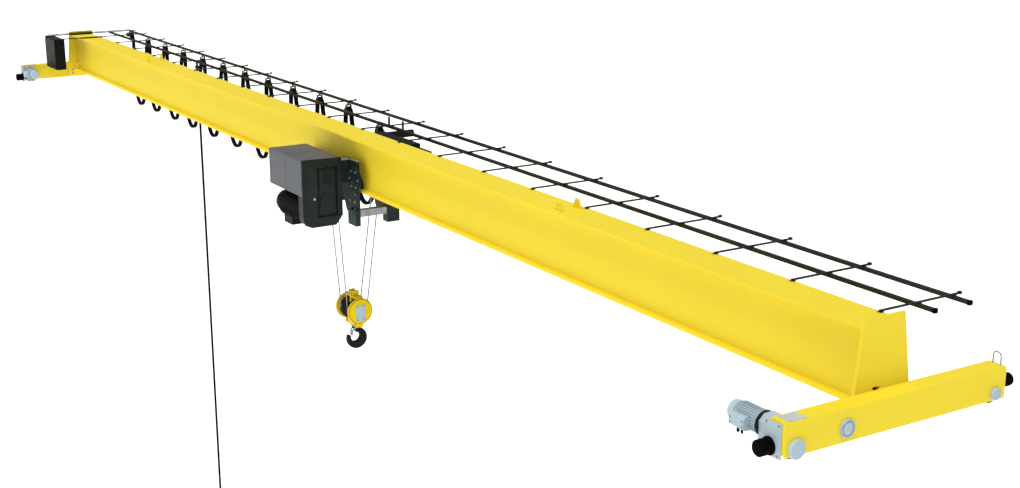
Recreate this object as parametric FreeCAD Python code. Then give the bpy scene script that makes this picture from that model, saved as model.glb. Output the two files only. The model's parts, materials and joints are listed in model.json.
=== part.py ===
import FreeCAD, Part
import math
import os

# Single-girder overhead travelling crane, side-mounted girder, wire-rope hoist.
# Axes: X along the girder, Y toward the cable rails, Z up.  Origin: rail-head plane,
# mid-span, girder centre plane.  All sizes in millimetres.

V = FreeCAD.Vector
os.makedirs("parts", exist_ok=True)

# ---- span and girder
SPAN = 19150.0             # wheel centre to wheel centre
GIRDER_H = 600.0
GIRDER_Z0 = 143.0          # underside of the girder
TOP_W = 370.0
BOTTOM_W = 300.0
FLANGE_T = 20.0
WEB_OUT = 170.0            # over the outsides of the two webs
WEB_T = 8.0
END_PLATE_T = 25.0
END_PLATE_TOP_W = 394.0
END_PLATE_FRONT = 270.0    # foot of the plate, to either side of the girder
END_PLATE_REAR = 312.0
NOTCH = (-78.0, -14.0, 22.0)   # drain notch at the foot: from, to, height over the beam
END_PLATE_OVER = 58.0      # above the girder's top
END_PLATE_BOTTOM_Z = 40.0
LUG_X = 5600.0             # lifting lugs, from mid-span
LUG_Y = 100.0
LUG_HALF = 65.0
LUG_TOP_HALF = 24.0
LUG_H = 90.0
LUG_T = 16.0
LUG_EYE_R = 14.0
LUG_EYE_DOWN = 32.0
STOP_IN = 110.0            # trolley end stops, from the girder's ends
STOP_L = 30.0
STOP_H = 110.0

# ---- end carriages
BEAM_W = 160.0
BEAM_H = 242.0
BEAM_Z0 = 25.0
BEAM_Y0 = -1016.0
BEAM_Y1 = 1114.0
BEAM_WALL = 8.0
WHEEL_R = 78.0
WHEEL_FLANGE_R = 87.0
WHEEL_TREAD_W = 60.0
WHEEL_FLANGE_W = 10.0
AXLE_R = 26.0
WHEEL_YD = -923.0          # driven wheel
WHEEL_YI = 1007.0          # idle wheel
PIN_GAP = 0.6
POCKET_GAP = 6.0
POCKET_HALF = 45.0         # half width of the wheel opening in the beam's end wall
CAP_R_D = 72.0
CAP_R_I = 48.0
CAP_T = 26.0
PORT_Y = -466.0
PORT_Z = 126.0
PORT_R = 68.0
PORT_DOME_R = 48.0
BUFFER_FR = 58.0           # front buffer
BUFFER_FL = 108.0
BUFFER_RR = 50.0           # rear buffer
BUFFER_RL = 120.0
BUFFER_FDX = 22.0          # front buffer axis, from the beam's inner side
BUFFER_FZ = 78.0
BUFFER_RDX = 14.0          # rear buffer axis, from the beam's middle
BUFFER_RZ = 130.0
BUFFER_SEAT_T = 12.0
BUFFER_RIM = 8.0
DRIVE_PLATE_T = 20.0
DRIVE_PLATE_IN = 28.0      # plate reach toward mid-span from the beam's inner side
DRIVE_PLATE_EDGE = 36.0    # strip of beam left bare outside the plate
HOOP_W = 82.0
HOOP_H = 96.0
HOOP_BEND = 30.0
HOOP_ROD_R = 5.5
HOOP_SET_IN = 14.0
LABEL_Y0 = -970.0
LABEL_X_IN = 14.0
LABEL_L = 160.0
LABEL_W = 125.0
LABEL_T = 2.0

# ---- travel drive
GEAR_W = 120.0
GEAR_Y1 = -835.0
GEAR_NOSE_Y = -880.0
GEAR_CHAMFER = 45.0
GEAR_TOP = 248.0
GEAR_FRONT_Y = -1010.0
PLATE_TOP = 256.0
GEAR_BOTTOM = 8.0
DRIVE_MOTOR_R = 78.0
DRIVE_MOTOR_L = 330.0
DRIVE_MOTOR_Y = -945.0
DRIVE_MOTOR_Z = 168.0
DRIVE_COWL_L = 80.0
DRIVE_COWL_R = 74.0
DRIVE_COWL_ROUND = 26.0
DRIVE_FLANGE_R = 92.0
DRIVE_FLANGE_T = 18.0
DRIVE_BOX = (150.0, 52.0, 100.0)
DRIVE_BOX_X = 100.0        # from the motor's free end
DRIVE_BOX_DROP = 14.0
DRIVE_BOX_CHAMFER = 22.0

# ---- cable rails, arms and cabinet
ARM_N = 21
ARM_END = 178.0            # first arm, from the girder's near end
BAR_END = 30.0             # last bar, from the girder's far end
ARM_W = 14.0
ARM_TIP_Y = 985.0
ARM_SEAT_T = 6.0
ARM_FOOT_Y = 150.0
ARM_FOOT_W = 30.0
BAR_SEAT_W = 60.0          # seat under each long bar, across the girder
RAIL_S = 30.0
RAIL_T = 2.5
RAIL_SLOT = 12.0
RAIL_SHORT = 10.0          # inside the girder's near end
RAIL_OVER = 90.0           # beyond its far end
FESTOON_Y = 900.0
PENDANT_Y = 540.0
CAB_Y0 = -632.0
CAB_DEPTH = 172.0
CAB_W = 582.0
CAB_H = 508.0
CAB_DOOR_T = 18.0
CAB_DOOR_MARGIN = 6.0

# ---- flat cable and its carriers
CARRIERS = 11
CARRIER_X0 = -9480.0       # fixed clamp
CARRIER_PITCH = 871.0
CARRIER_DROP = 46.0        # top of the cable's arch under the rail
TOW_TOP_Z = 546.0
SADDLE_R = 58.0
SADDLE_W = 62.0
HEAD_GAP = 14.0            # over the cable
HEAD_T = 10.0
HEAD_HALF_L = 22.0
NECK_HALF_L = 26.0
ROLLER_DX = 16.0
RIBBON_W = 54.0
RIBBON_T = 34.0            # several flat cables, one on the other
RIBBON_GAP = 0.3
LOOP_Z = -520.0
LOOP_POINTS = ((0.700, 0.321, 0.4), (0.629, 0.678, 0.8), (0.450, 0.885, 1.0), (0.200, 1.0, 1.0))
LOOP_LEAN = (-150.0, -200.0, -165.0, -180.0, -120.0, -25.0, 95.0, 60.0, 30.0, 0.0, 0.0)
CORNER_SHARE = 0.45        # of the shorter run, taken by each bend
STRAP_T = 5.0
ROLLER_R = 9.0
ROLLER_GAP = 0.4
CABLE_TAIL = 60.0          # beyond the fixed clamp, into its terminal box
TERMINAL = (120.0, 90.0, 60.0)

# ---- hoist trolley
HOOK_X = 1008.0
WHEELBASE = 1120.0
T_WHEEL_R = 62.0
T_FLANGE_R = 74.0
T_WHEEL_Y0 = 97.0
T_WHEEL_W = 50.0
T_FLANGE_W = 10.0
T_AXLE_R = 20.0
FRAME_Y = 170.0            # inner face of each side frame
FRAME_T = 30.0
FRAME_HALF_L = 682.0
FRAME_BOTTOM = -110.0
FRAME_MID = 110.0
FRAME_LOW_TOP = 300.0
FRAME_STEP_TOP = 440.0
FRAME_TALL_TOP = 502.0
FRAME_LEG_IN = 290.0       # leg width at the bottom, from each end
FRAME_LEG_OUT = 390.0      # leg width where the window begins
TUBE_S = 80.0
TUBE_Z = -100.0
TUBE_WALL = 6.0
TUBE_END = 50.0            # tube middle from the frame's end
FOOT_L = 200.0
FOOT_D = 30.0
FOOT_REAR_L = 115.0
FOOT_REAR_D = 125.0
FOOT_RISE = 50.0
FOOT_Z0 = -240.0
COVER_X0 = 620.0
COVER_X1 = 1520.0
COVER_Y0 = -800.0
COVER_Y1 = -330.0
COVER_Z0 = 137.0
COVER_Z1 = 548.0
COVER_T = 5.0
GEARBOX_T = 120.0
GEARBOX_FACE_T = 15.0
DRUM_R = 160.0
DRUM_Y = -420.0
DRUM_Z = 320.0
ROPE_R = 7.0
DRUM_FLANGE = 14.0
DRUM_SHAFT_R = 40.0
FACE_OUTLINE = [(-803, 557), (-316, 545), (-316, -120), (-400, -227), (-700, -227),
                (-780, -190), (-803, -120)]
RECESS = (-612.0, -385.0, -110.0, 440.0)     # y0, y1, z0, z1
RECESS_D = 11.0
FAN_PANEL = (-590.0, -415.0, 200.0, 395.0)
KNOB_Y = -505.0
KNOB_Z = 60.0
KNOB_R = 84.0
MOTOR_R = 140.0
MOTOR_X0 = 700.0
MOTOR_Y = -640.0
MOTOR_Z = -75.0
MOTOR_COWL_L = 90.0
MOTOR_COWL_R = 128.0
MOTOR_BOX = (220.0, 130.0, 70.0)
MOTOR_BOX_X = 150.0        # from the motor's free end
T_GEAR_S = 130.0
T_GEAR_D = 90.0
T_MOTOR_R = 54.0
T_MOTOR_L = 230.0
REAR_BOX = (880.0, 230.0, 350.0)
REAR_BOX_X0 = 900.0
REAR_BOX_Y0 = 330.0
REAR_BOX_Z0 = 300.0
SIDE_BOX = (270.0, 180.0, 145.0)
SIDE_BOX_DOWN = 45.0
SHELF_T = 14.0
SHELF_MARGIN = 60.0
GUARD_R = 150.0            # round guard over the near front wheel
GUARD_T = 26.0
GUARD_X = 1650.0
GUARD_Z = 300.0
TOW_BAR_S = 40.0
TOW_BAR_X1 = 1000.0
TOW_BAR_T = 16.0
PRONG_XS = (362.0, 720.0)
PRONG_T = 10.0
JUNCTION = (140.0, 90.0, 150.0)
JUNCTION_X = 625.0
JUNCTION_Z0 = 185.0

# ---- hook block
BLOCK_X = 1097.0
BLOCK_Z = -1398.0
SHEAVE_R = 135.0
GROOVE_R = 118.0
SHEAVE_W = 30.0
SHEAVE_PITCH = 180.0
SHEAVE_PIN_R = 26.0
COVER_R = 160.0
BLOCK_COVER_T = 25.0
BLOCK_COVER_ROUND = 12.0
BLOCK_W = 350.0
BAR_T = 8.0
BAR_HALF_W = 45.0
GUARD_BAR_DZ = 165.0
TAB_DZ = 215.0
CROSS_Z = -1561.0
CROSS_UP = 20.0
CROSS_DOWN = 40.0
CROSS_HALF_W = 42.0
SHANK_R = 25.0
COLLAR_R = 33.0
COLLAR_GAP = 2.0
HOOK_R_IN = 60.0
HOOK_R_OUT = 130.0
HOOK_SHIFT = 22.0          # outer circle set toward the heavy side and down
HOOK_T = 60.0
HOOK_ROUND = 14.0
HOOK_BOTTOM = -1903.0
HOOK_TIP_A = math.radians(162)
HOOK_BACK_A = math.radians(60)
LATCH_Y = -6.0             # latch pin, from the bowl's centre
LATCH_DZ = 108.0
LATCH_SIDE = 1.0
LATCH_T = 3.5
LATCH_PIN_R = 5.0
LATCH_EYE_R = 11.0
EQ_Y = 330.0
EQ_Z = 80.0
EQ_R = 66.0
EQ_HALF_L = 125.0

# ---- pendant control
PENDANT_X = -5275.0
PENDANT_CABLE_R = 17.0
PENDANT_DROP = 51.0        # clamp under the rail
PENDANT_BLOCK_H = 40.0
PENDANT_HALF_L = 45.0
PENDANT_ROLLER_DX = 32.0
CONTROL_Z1 = -6376.0
CONTROL = (80.0, 72.0, 440.0)

# ---- derived places
IN_X = SPAN / 2 - BEAM_W / 2
OUT_X = IN_X + BEAM_W
GIRDER_X = IN_X - END_PLATE_T
GIRDER_Z1 = GIRDER_Z0 + GIRDER_H
BEAM_Z1 = BEAM_Z0 + BEAM_H
END_PLATE_TOP_Z = GIRDER_Z1 + END_PLATE_OVER
STOP_X = GIRDER_X - STOP_IN
WHEEL_X = SPAN / 2
ARM_Z = GIRDER_Z1 + ARM_SEAT_T
ARM_X0 = GIRDER_X - ARM_END
BAR_A_X = BAR_END - GIRDER_X
BAR_B_X = BAR_A_X + CAB_W - ARM_W
ARM_PITCH = (ARM_X0 - BAR_B_X) / (ARM_N - 1)
RAIL_X0 = -GIRDER_X - RAIL_OVER
RAIL_X1 = GIRDER_X - RAIL_SHORT
RAIL_Z0 = ARM_Z - RAIL_S
CAB_Z0 = ARM_Z - CAB_H
CARRIER_TOP_Z = RAIL_Z0 - CARRIER_DROP
PENDANT_TOP_Z = RAIL_Z0 - PENDANT_DROP
T_WHEEL_Z = GIRDER_Z0 + FLANGE_T + T_WHEEL_R
FRAME_X0 = HOOK_X - FRAME_HALF_L
FRAME_X1 = HOOK_X + FRAME_HALF_L
HOOK_Z = HOOK_BOTTOM + HOOK_SHIFT + HOOK_R_OUT
ROLLER_Z = RAIL_Z0 + RAIL_T + ROLLER_R + ROLLER_GAP


def box(x0, x1, y0, y1, z0, z1):
    return Part.makeBox(abs(x1 - x0), abs(y1 - y0), abs(z1 - z0),
                        V(min(x0, x1), min(y0, y1), min(z0, z1)))


def rod(p, q, r):
    a, b = V(*p), V(*q)
    return Part.makeCylinder(r, (b - a).Length, a, b - a)


def cone(p, q, r0, r1):
    a, b = V(*p), V(*q)
    return Part.makeCone(r0, r1, (b - a).Length, a, b - a)


def slab_xz(points, y0, y1):
    wire = Part.makePolygon([V(x, y0, z) for x, z in points + points[:1]])
    return Part.Face(wire).extrude(V(0, y1 - y0, 0))


def slab_yz(points, x0, x1):
    wire = Part.makePolygon([V(x0, y, z) for y, z in points + points[:1]])
    return Part.Face(wire).extrude(V(x1 - x0, 0, 0))


def fuse(shapes):
    out = shapes[0]
    for s in shapes[1:]:
        out = out.fuse(s)
    return out.removeSplitter()


def mirror_x(shape):
    return shape.mirror(V(0, 0, 0), V(1, 0, 0))


def mirror_y(shape):
    return shape.mirror(V(0, 0, 0), V(0, 1, 0))


def save(name, shapes):
    shape = shapes[0] if len(shapes) == 1 else Part.makeCompound(shapes)
    shape.exportStep("parts/" + name + ".step")


def both_ends(shape):
    return [shape, mirror_x(shape)]


# ================= girder =================
save("girder_top_flange",
     [box(-GIRDER_X, GIRDER_X, -TOP_W / 2, TOP_W / 2, GIRDER_Z1 - FLANGE_T, GIRDER_Z1)])
save("girder_bottom_flange",
     [box(-GIRDER_X, GIRDER_X, -BOTTOM_W / 2, BOTTOM_W / 2, GIRDER_Z0, GIRDER_Z0 + FLANGE_T)])
web = box(-GIRDER_X, GIRDER_X, -WEB_OUT / 2, -WEB_OUT / 2 + WEB_T,
          GIRDER_Z0 + FLANGE_T, GIRDER_Z1 - FLANGE_T)
save("girder_webs", [web, mirror_y(web)])

plate = slab_yz([(-END_PLATE_FRONT, END_PLATE_BOTTOM_Z), (END_PLATE_REAR, END_PLATE_BOTTOM_Z),
                 (END_PLATE_TOP_W / 2, END_PLATE_TOP_Z),
                 (-END_PLATE_TOP_W / 2, END_PLATE_TOP_Z)], GIRDER_X, IN_X)
plate = plate.cut(box(GIRDER_X - 1, IN_X + 1, NOTCH[0], NOTCH[1],
                      BEAM_Z1 - NOTCH[2] / 2, BEAM_Z1 + NOTCH[2]))
save("end_plates", both_ends(plate))


def lug(x, y):
    z = GIRDER_Z1
    ze = z + LUG_H - LUG_EYE_DOWN
    body = slab_xz([(x - LUG_HALF, z), (x + LUG_HALF, z), (x + LUG_TOP_HALF, z + LUG_H),
                    (x - LUG_TOP_HALF, z + LUG_H)], y - LUG_T / 2, y + LUG_T / 2)
    return body.cut(rod((x, y - LUG_T, ze), (x, y + LUG_T, ze), LUG_EYE_R))


save("lifting_lugs", [lug(x, y) for x in (-LUG_X, LUG_X) for y in (-LUG_Y, LUG_Y)])

stop = box(STOP_X, STOP_X + STOP_L, -BOTTOM_W / 2, -WEB_OUT / 2,
           GIRDER_Z0 + FLANGE_T, GIRDER_Z0 + FLANGE_T + STOP_H)
save("trolley_end_stops", both_ends(stop) + both_ends(mirror_y(stop)))


# ================= end carriages =================
def carriage_beam():
    body = box(IN_X, OUT_X, BEAM_Y0, BEAM_Y1, BEAM_Z0, BEAM_Z1)
    w = BEAM_WALL
    body = body.cut(box(IN_X + w, OUT_X - w, BEAM_Y0 + w, BEAM_Y1 - w,
                        BEAM_Z0 + w, BEAM_Z1 - w))
    reach = WHEEL_FLANGE_R + POCKET_GAP
    for y in (WHEEL_YD, WHEEL_YI):
        y0 = max(y - reach, BEAM_Y0 - 1)
        y1 = min(y + reach, BEAM_Y1 - w)
        body = body.cut(box(IN_X + w, OUT_X - w, y0, y1, BEAM_Z0 - 1, BEAM_Z0 + w + 1))
        body = body.cut(rod((IN_X - 1, y, WHEEL_R), (OUT_X + 1, y, WHEEL_R),
                            AXLE_R + PIN_GAP))
    mid = (IN_X + OUT_X) / 2
    return body.cut(box(mid - POCKET_HALF, mid + POCKET_HALF, BEAM_Y0 - 1, BEAM_Y0 + w + 1,
                        BEAM_Z0 - 1, WHEEL_R + reach))


beam = carriage_beam()
save("carriage_beams", both_ends(beam))


def crane_wheel(y):
    half = WHEEL_TREAD_W / 2
    x = WHEEL_X
    tread = rod((x - half, y, WHEEL_R), (x + half, y, WHEEL_R), WHEEL_R)
    rims = [rod((x + s * half, y, WHEEL_R), (x + s * (half + WHEEL_FLANGE_W), y, WHEEL_R),
                WHEEL_FLANGE_R) for s in (-1, 1)]
    axle = rod((IN_X - 2, y, WHEEL_R), (OUT_X + 2, y, WHEEL_R), AXLE_R)
    return fuse([tread] + rims + [axle])


wheel_d, wheel_i = crane_wheel(WHEEL_YD), crane_wheel(WHEEL_YI)
save("crane_wheel_drive_near", [wheel_d])
save("crane_wheel_drive_far", [mirror_x(wheel_d)])
save("crane_wheel_idle_near", [wheel_i])
save("crane_wheel_idle_far", [mirror_x(wheel_i)])


def axle_cap(y, r):
    disc = rod((OUT_X, y, WHEEL_R), (OUT_X + CAP_T, y, WHEEL_R), r)
    edge = [e for e in disc.Edges if abs(e.CenterOfMass.x - OUT_X - CAP_T) < 0.1
            and e.Length > r]
    disc = disc.makeFillet(8.0, edge[:1])
    return disc.cut(rod((OUT_X - 1, y, WHEEL_R), (OUT_X + 8, y, WHEEL_R), AXLE_R + 6))


def port():
    ring = rod((OUT_X, PORT_Y, PORT_Z), (OUT_X + 14, PORT_Y, PORT_Z), PORT_R)
    dome = cone((OUT_X + 14, PORT_Y, PORT_Z), (OUT_X + 26, PORT_Y, PORT_Z),
                PORT_DOME_R, PORT_DOME_R - 22)
    return fuse([ring, dome])


def carriage_caps():
    return [axle_cap(WHEEL_YD, CAP_R_D), axle_cap(WHEEL_YI, CAP_R_I), port()]


save("carriage_caps", carriage_caps() + [mirror_x(s) for s in carriage_caps()])

label = box(IN_X + LABEL_X_IN, IN_X + LABEL_X_IN + LABEL_W, LABEL_Y0, LABEL_Y0 + LABEL_L,
            BEAM_Z1, BEAM_Z1 + LABEL_T)
save("label_plates", both_ends(label))


def hoop(y):
    x0 = (IN_X + OUT_X) / 2 - HOOP_W / 2
    x1 = x0 + HOOP_W
    r, bend = HOOP_ROD_R, HOOP_BEND
    z0, z1 = BEAM_Z1, BEAM_Z1 + HOOP_H - r
    path = Part.Wire([
        Part.LineSegment(V(x0 + r, y, z0), V(x0 + r, y, z1 - bend)).toShape(),
        Part.Arc(V(x0 + r, y, z1 - bend),
                 V(x0 + r + bend * (1 - math.sqrt(0.5)), y, z1 - bend * (1 - math.sqrt(0.5))),
                 V(x0 + r + bend, y, z1)).toShape(),
        Part.LineSegment(V(x0 + r + bend, y, z1), V(x1 - r - bend, y, z1)).toShape(),
        Part.Arc(V(x1 - r - bend, y, z1),
                 V(x1 - r - bend * (1 - math.sqrt(0.5)), y, z1 - bend * (1 - math.sqrt(0.5))),
                 V(x1 - r, y, z1 - bend)).toShape(),
        Part.LineSegment(V(x1 - r, y, z1 - bend), V(x1 - r, y, z0)).toShape()])
    ring = Part.Wire(Part.makeCircle(r, V(x0 + r, y, z0), V(0, 0, 1)))
    return path.makePipeShell([ring], True, True)


save("end_hoops", both_ends(hoop(BEAM_Y1 - HOOP_SET_IN)))


def buffer(x, y, z, side, r, long):
    seat = rod((x, y, z), (x, y + side * BUFFER_SEAT_T, z), r + BUFFER_RIM)
    body = rod((x, y + side * BUFFER_SEAT_T, z), (x, y + side * long, z), r)
    body = body.makeFillet(r / 4, [e for e in body.Edges
                                   if abs(e.CenterOfMass.y - y - side * long) < 0.1
                                   and len(e.Vertexes) == 1][:1])
    return fuse([seat, body])


front_buffer = buffer(IN_X + BUFFER_FDX, BEAM_Y0 - DRIVE_PLATE_T, BUFFER_FZ, -1,
                      BUFFER_FR, BUFFER_FL)
rear_buffer = buffer((IN_X + OUT_X) / 2 + BUFFER_RDX, BEAM_Y1, BUFFER_RZ, 1,
                     BUFFER_RR, BUFFER_RL)
save("buffers", both_ends(front_buffer) + both_ends(rear_buffer))


# ================= travel drives =================
def gearbox():
    c = GEAR_CHAMFER
    y0 = GEAR_FRONT_Y
    case = slab_yz([(y0, GEAR_BOTTOM + c), (y0 + c, GEAR_BOTTOM), (GEAR_NOSE_Y, GEAR_BOTTOM),
                    (GEAR_Y1, GEAR_BOTTOM + c), (GEAR_Y1, GEAR_TOP - c), (GEAR_Y1 - c, GEAR_TOP),
                    (y0 + c, GEAR_TOP), (y0, GEAR_TOP - c)], IN_X - GEAR_W, IN_X)
    end = fuse([box(IN_X - DRIVE_PLATE_IN, OUT_X - DRIVE_PLATE_EDGE, BEAM_Y0 - DRIVE_PLATE_T,
                    BEAM_Y0, GEAR_BOTTOM, PLATE_TOP),
                box(IN_X - DRIVE_PLATE_IN, IN_X, BEAM_Y0, y0 + c, GEAR_BOTTOM + c, GEAR_TOP - c)])
    case = fuse([case, end])
    return case.cut(rod((IN_X - 10, WHEEL_YD, WHEEL_R), (IN_X + 1, WHEEL_YD, WHEEL_R),
                        AXLE_R + POCKET_GAP))


def drive_motor():
    x1 = IN_X - GEAR_W
    x0 = x1 - DRIVE_MOTOR_L
    y, z, r = DRIVE_MOTOR_Y, DRIVE_MOTOR_Z, DRIVE_MOTOR_R
    barrel = rod((x0 + DRIVE_COWL_L, y, z), (x1 - DRIVE_FLANGE_T, y, z), r)
    flange = rod((x1 - DRIVE_FLANGE_T, y, z), (x1, y, z), DRIVE_FLANGE_R)
    cowl = rod((x0, y, z), (x0 + DRIVE_COWL_L, y, z), DRIVE_COWL_R)
    rim = [e for e in cowl.Edges if abs(e.CenterOfMass.x - x0) < 0.1 and len(e.Vertexes) == 1]
    cowl = cowl.makeFillet(DRIVE_COWL_ROUND, rim[:1])
    lx, ly, lz = DRIVE_BOX
    y0, y1 = y - r - ly, y - r + DRIVE_BOX_DROP
    z0 = z - DRIVE_BOX_DROP - lz / 2
    c = DRIVE_BOX_CHAMFER
    term = slab_yz([(y1, z0), (y0 + c, z0), (y0, z0 + c), (y0, z0 + lz - c), (y0 + c, z0 + lz),
                    (y1, z0 + lz)], x0 + DRIVE_BOX_X, x0 + DRIVE_BOX_X + lx)
    return fuse([barrel, flange, cowl, term])


save("drive_gearboxes", both_ends(gearbox()))
save("drive_motors", both_ends(drive_motor()))


# ================= cable rails, arms, cabinet =================
def foot(x, y0, y1):
    return box(x - ARM_FOOT_W / 2, x + ARM_FOOT_W / 2, y0, y1, GIRDER_Z1, ARM_Z)


def arm(x):
    bar = box(x - ARM_W / 2, x + ARM_W / 2, ARM_FOOT_Y, ARM_TIP_Y, ARM_Z, ARM_Z + ARM_W)
    return fuse([bar, foot(x, ARM_FOOT_Y, TOP_W / 2)])


def long_bar(x):
    bar = box(x - ARM_W / 2, x + ARM_W / 2, CAB_Y0, ARM_TIP_Y, ARM_Z, ARM_Z + ARM_W)
    seat = box(x - BAR_SEAT_W / 2, x + BAR_SEAT_W / 2, -TOP_W / 2, TOP_W / 2, GIRDER_Z1, ARM_Z)
    return fuse([bar, seat])


save("cable_arms", [arm(ARM_X0 - k * ARM_PITCH) for k in range(ARM_N - 1)]
     + [long_bar(BAR_A_X), long_bar(BAR_B_X)])


def c_rail(y):
    s, t = RAIL_S, RAIL_T
    solid = box(RAIL_X0, RAIL_X1, y - s / 2, y + s / 2, RAIL_Z0, RAIL_Z0 + s)
    bore = box(RAIL_X0 - 1, RAIL_X1 + 1, y - s / 2 + t, y + s / 2 - t,
               RAIL_Z0 + t, RAIL_Z0 + s - t)
    slot = box(RAIL_X0 - 1, RAIL_X1 + 1, y - RAIL_SLOT / 2, y + RAIL_SLOT / 2,
               RAIL_Z0 - 1, RAIL_Z0 + t + 1)
    return solid.cut(bore).cut(slot)


save("festoon_rail", [c_rail(FESTOON_Y)])
save("pendant_rail", [c_rail(PENDANT_Y)])

CAB_X0, CAB_X1 = BAR_A_X - ARM_W / 2, BAR_B_X + ARM_W / 2
save("cabinet_body", [box(CAB_X0, CAB_X1, CAB_Y0 + CAB_DOOR_T, CAB_Y0 + CAB_DEPTH,
                          CAB_Z0, ARM_Z)])
m = CAB_DOOR_MARGIN
save("cabinet_door", [box(CAB_X0 + m, CAB_X1 - m, CAB_Y0, CAB_Y0 + CAB_DOOR_T,
                          CAB_Z0 + m, ARM_Z - m)])


# ================= flat cable and carriers =================
def carrier(x, y, arch_top, hung=True):
    """Yoke with rollers in the rail; the flat cable arches over its saddle."""
    cz = arch_top - RIBBON_T - SADDLE_R
    w = SADDLE_W
    saddle = rod((x, y - w / 2, cz), (x, y + w / 2, cz), SADDLE_R)
    saddle = saddle.common(box(x - w, x + w, y - w, y + w, cz, cz + w))
    head = arch_top + HEAD_GAP
    parts = [saddle, box(x - HEAD_HALF_L, x + HEAD_HALF_L, y - w / 2 - STRAP_T,
                         y + w / 2 + STRAP_T, head, head + HEAD_T)]
    for s in (-1, 1):
        y0 = y + s * w / 2
        parts.append(box(x - HEAD_HALF_L, x + HEAD_HALF_L, y0, y0 + s * STRAP_T, cz, head + HEAD_T))
    if hung:
        parts.append(box(x - NECK_HALF_L, x + NECK_HALF_L, y - 3, y + 3, head + HEAD_T,
                         ROLLER_Z + 4))
        for dx in (-ROLLER_DX, ROLLER_DX):
            parts.append(rod((x + dx, y - 11, ROLLER_Z), (x + dx, y + 11, ROLLER_Z), ROLLER_R))
    return fuse(parts)


carrier_x = [CARRIER_X0 + k * CARRIER_PITCH for k in range(CARRIERS + 1)]
arch_z = [CARRIER_TOP_Z] * CARRIERS + [TOW_TOP_Z]
for k in range(1, CARRIERS + 1):
    save("festoon_carrier_%02d" % k,
         [carrier(carrier_x[k], FESTOON_Y, arch_z[k], k < CARRIERS)])


def fixed_clamp(x, y):
    body = carrier(x, y, CARRIER_TOP_Z, False)
    post = box(x - HEAD_HALF_L, x + HEAD_HALF_L, y - 10, y + 10,
               CARRIER_TOP_Z + HEAD_GAP + HEAD_T, RAIL_Z0)
    lx, ly, lz = TERMINAL
    x1, z1 = x - CABLE_TAIL, CARRIER_TOP_Z + HEAD_GAP + HEAD_T
    case = box(x1 - lx, x1, y - ly / 2, y + ly / 2, z1 - lz, z1)
    bridge = box(x1 - 1, x - HEAD_HALF_L, y - ly / 2, y + ly / 2, z1 - HEAD_T, z1)
    return fuse([body, post, case, bridge])


save("cable_clamps", [fixed_clamp(CARRIER_X0, FESTOON_Y)])


def sub(p, q):
    return (p[0] - q[0], p[1] - q[1])


def direction(p, q):
    d = sub(q, p)
    n = math.hypot(*d)
    return (d[0] / n, d[1] / n)


def over_circle(c, r, p, side):
    """Point where the straight from p meets the top side of circle c."""
    d = sub(p, c)
    a = math.atan2(d[1], d[0]) + side * math.acos(r / math.hypot(*d))
    return (c[0] + r * math.cos(a), c[1] + r * math.sin(a))


def bends(points):
    """Straight runs joined by tangent arcs: list of (start, centre, radius, turn, end)."""
    out = []
    for p, q, s in zip(points, points[1:], points[2:]):
        u, v = direction(p, q), direction(q, s)
        turn = math.atan2(u[0] * v[1] - u[1] * v[0], u[0] * v[0] + u[1] * v[1])
        t = CORNER_SHARE * min(math.dist(p, q), math.dist(q, s))
        r = t / math.tan(abs(turn) / 2)
        side = 1 if turn > 0 else -1
        a = (q[0] - u[0] * t, q[1] - u[1] * t)
        centre = (a[0] - u[1] * r * side, a[1] + u[0] * r * side)
        out.append((a, centre, r, turn, (q[0] + v[0] * t, q[1] + v[1] * t)))
    return out


def arch(c, p, q):
    """Clockwise arc over a saddle between the straights from p and to q."""
    r = SADDLE_R + RIBBON_T / 2
    a, b = over_circle(c, r, p, -1), over_circle(c, r, q, 1)
    turn = math.atan2(b[1] - c[1], b[0] - c[0]) - math.atan2(a[1] - c[1], a[0] - c[0])
    return (a, c, r, turn if turn < 0 else turn - 2 * math.pi, b)


def flat_cable(arcs, first, last, width, place):
    """Solid strip: both sides follow the same route, half a thickness either way."""
    half = RIBBON_T / 2 - RIBBON_GAP
    edges, ends = [], []
    for d in (half, -half):
        here = None
        for start, c, r, turn, end in arcs:
            side = 1 if turn > 0 else -1
            k = (r - side * d) / r
            a = (c[0] + (start[0] - c[0]) * k, c[1] + (start[1] - c[1]) * k)
            b = (c[0] + (end[0] - c[0]) * k, c[1] + (end[1] - c[1]) * k)
            a0 = math.atan2(a[1] - c[1], a[0] - c[0]) + turn / 2
            m = (c[0] + math.cos(a0) * r * k, c[1] + math.sin(a0) * r * k)
            if here is None:
                u = direction(first, start)
                here = (first[0] - u[1] * d, first[1] + u[0] * d)
                ends.append(here)
            edges.append(Part.LineSegment(V(here[0], 0, here[1]), V(a[0], 0, a[1])).toShape())
            edges.append(Part.Arc(V(a[0], 0, a[1]), V(m[0], 0, m[1]), V(b[0], 0, b[1])).toShape())
            here = b
        u = direction(arcs[-1][4], last)
        tail = (last[0] - u[1] * d, last[1] + u[0] * d)
        edges.append(Part.LineSegment(V(here[0], 0, here[1]), V(tail[0], 0, tail[1])).toShape())
        ends.append(tail)
    for i in (0, 1):
        p, q = ends[i], ends[i + 2]
        edges.append(Part.LineSegment(V(p[0], 0, p[1]), V(q[0], 0, q[1])).toShape())
    face = Part.Face(Part.Wire(Part.__sortEdges__(edges)))
    solid = face.extrude(V(0, width, 0))
    solid.translate(V(0, place - width / 2, 0))
    return solid


def route_length(arcs, first, last):
    total = math.dist(first, arcs[0][0]) + math.dist(arcs[-1][4], last)
    for now, nxt in zip(arcs, arcs[1:]):
        total += math.dist(now[4], nxt[0])
    return total + sum(abs(a[3]) * a[2] for a in arcs)


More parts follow.
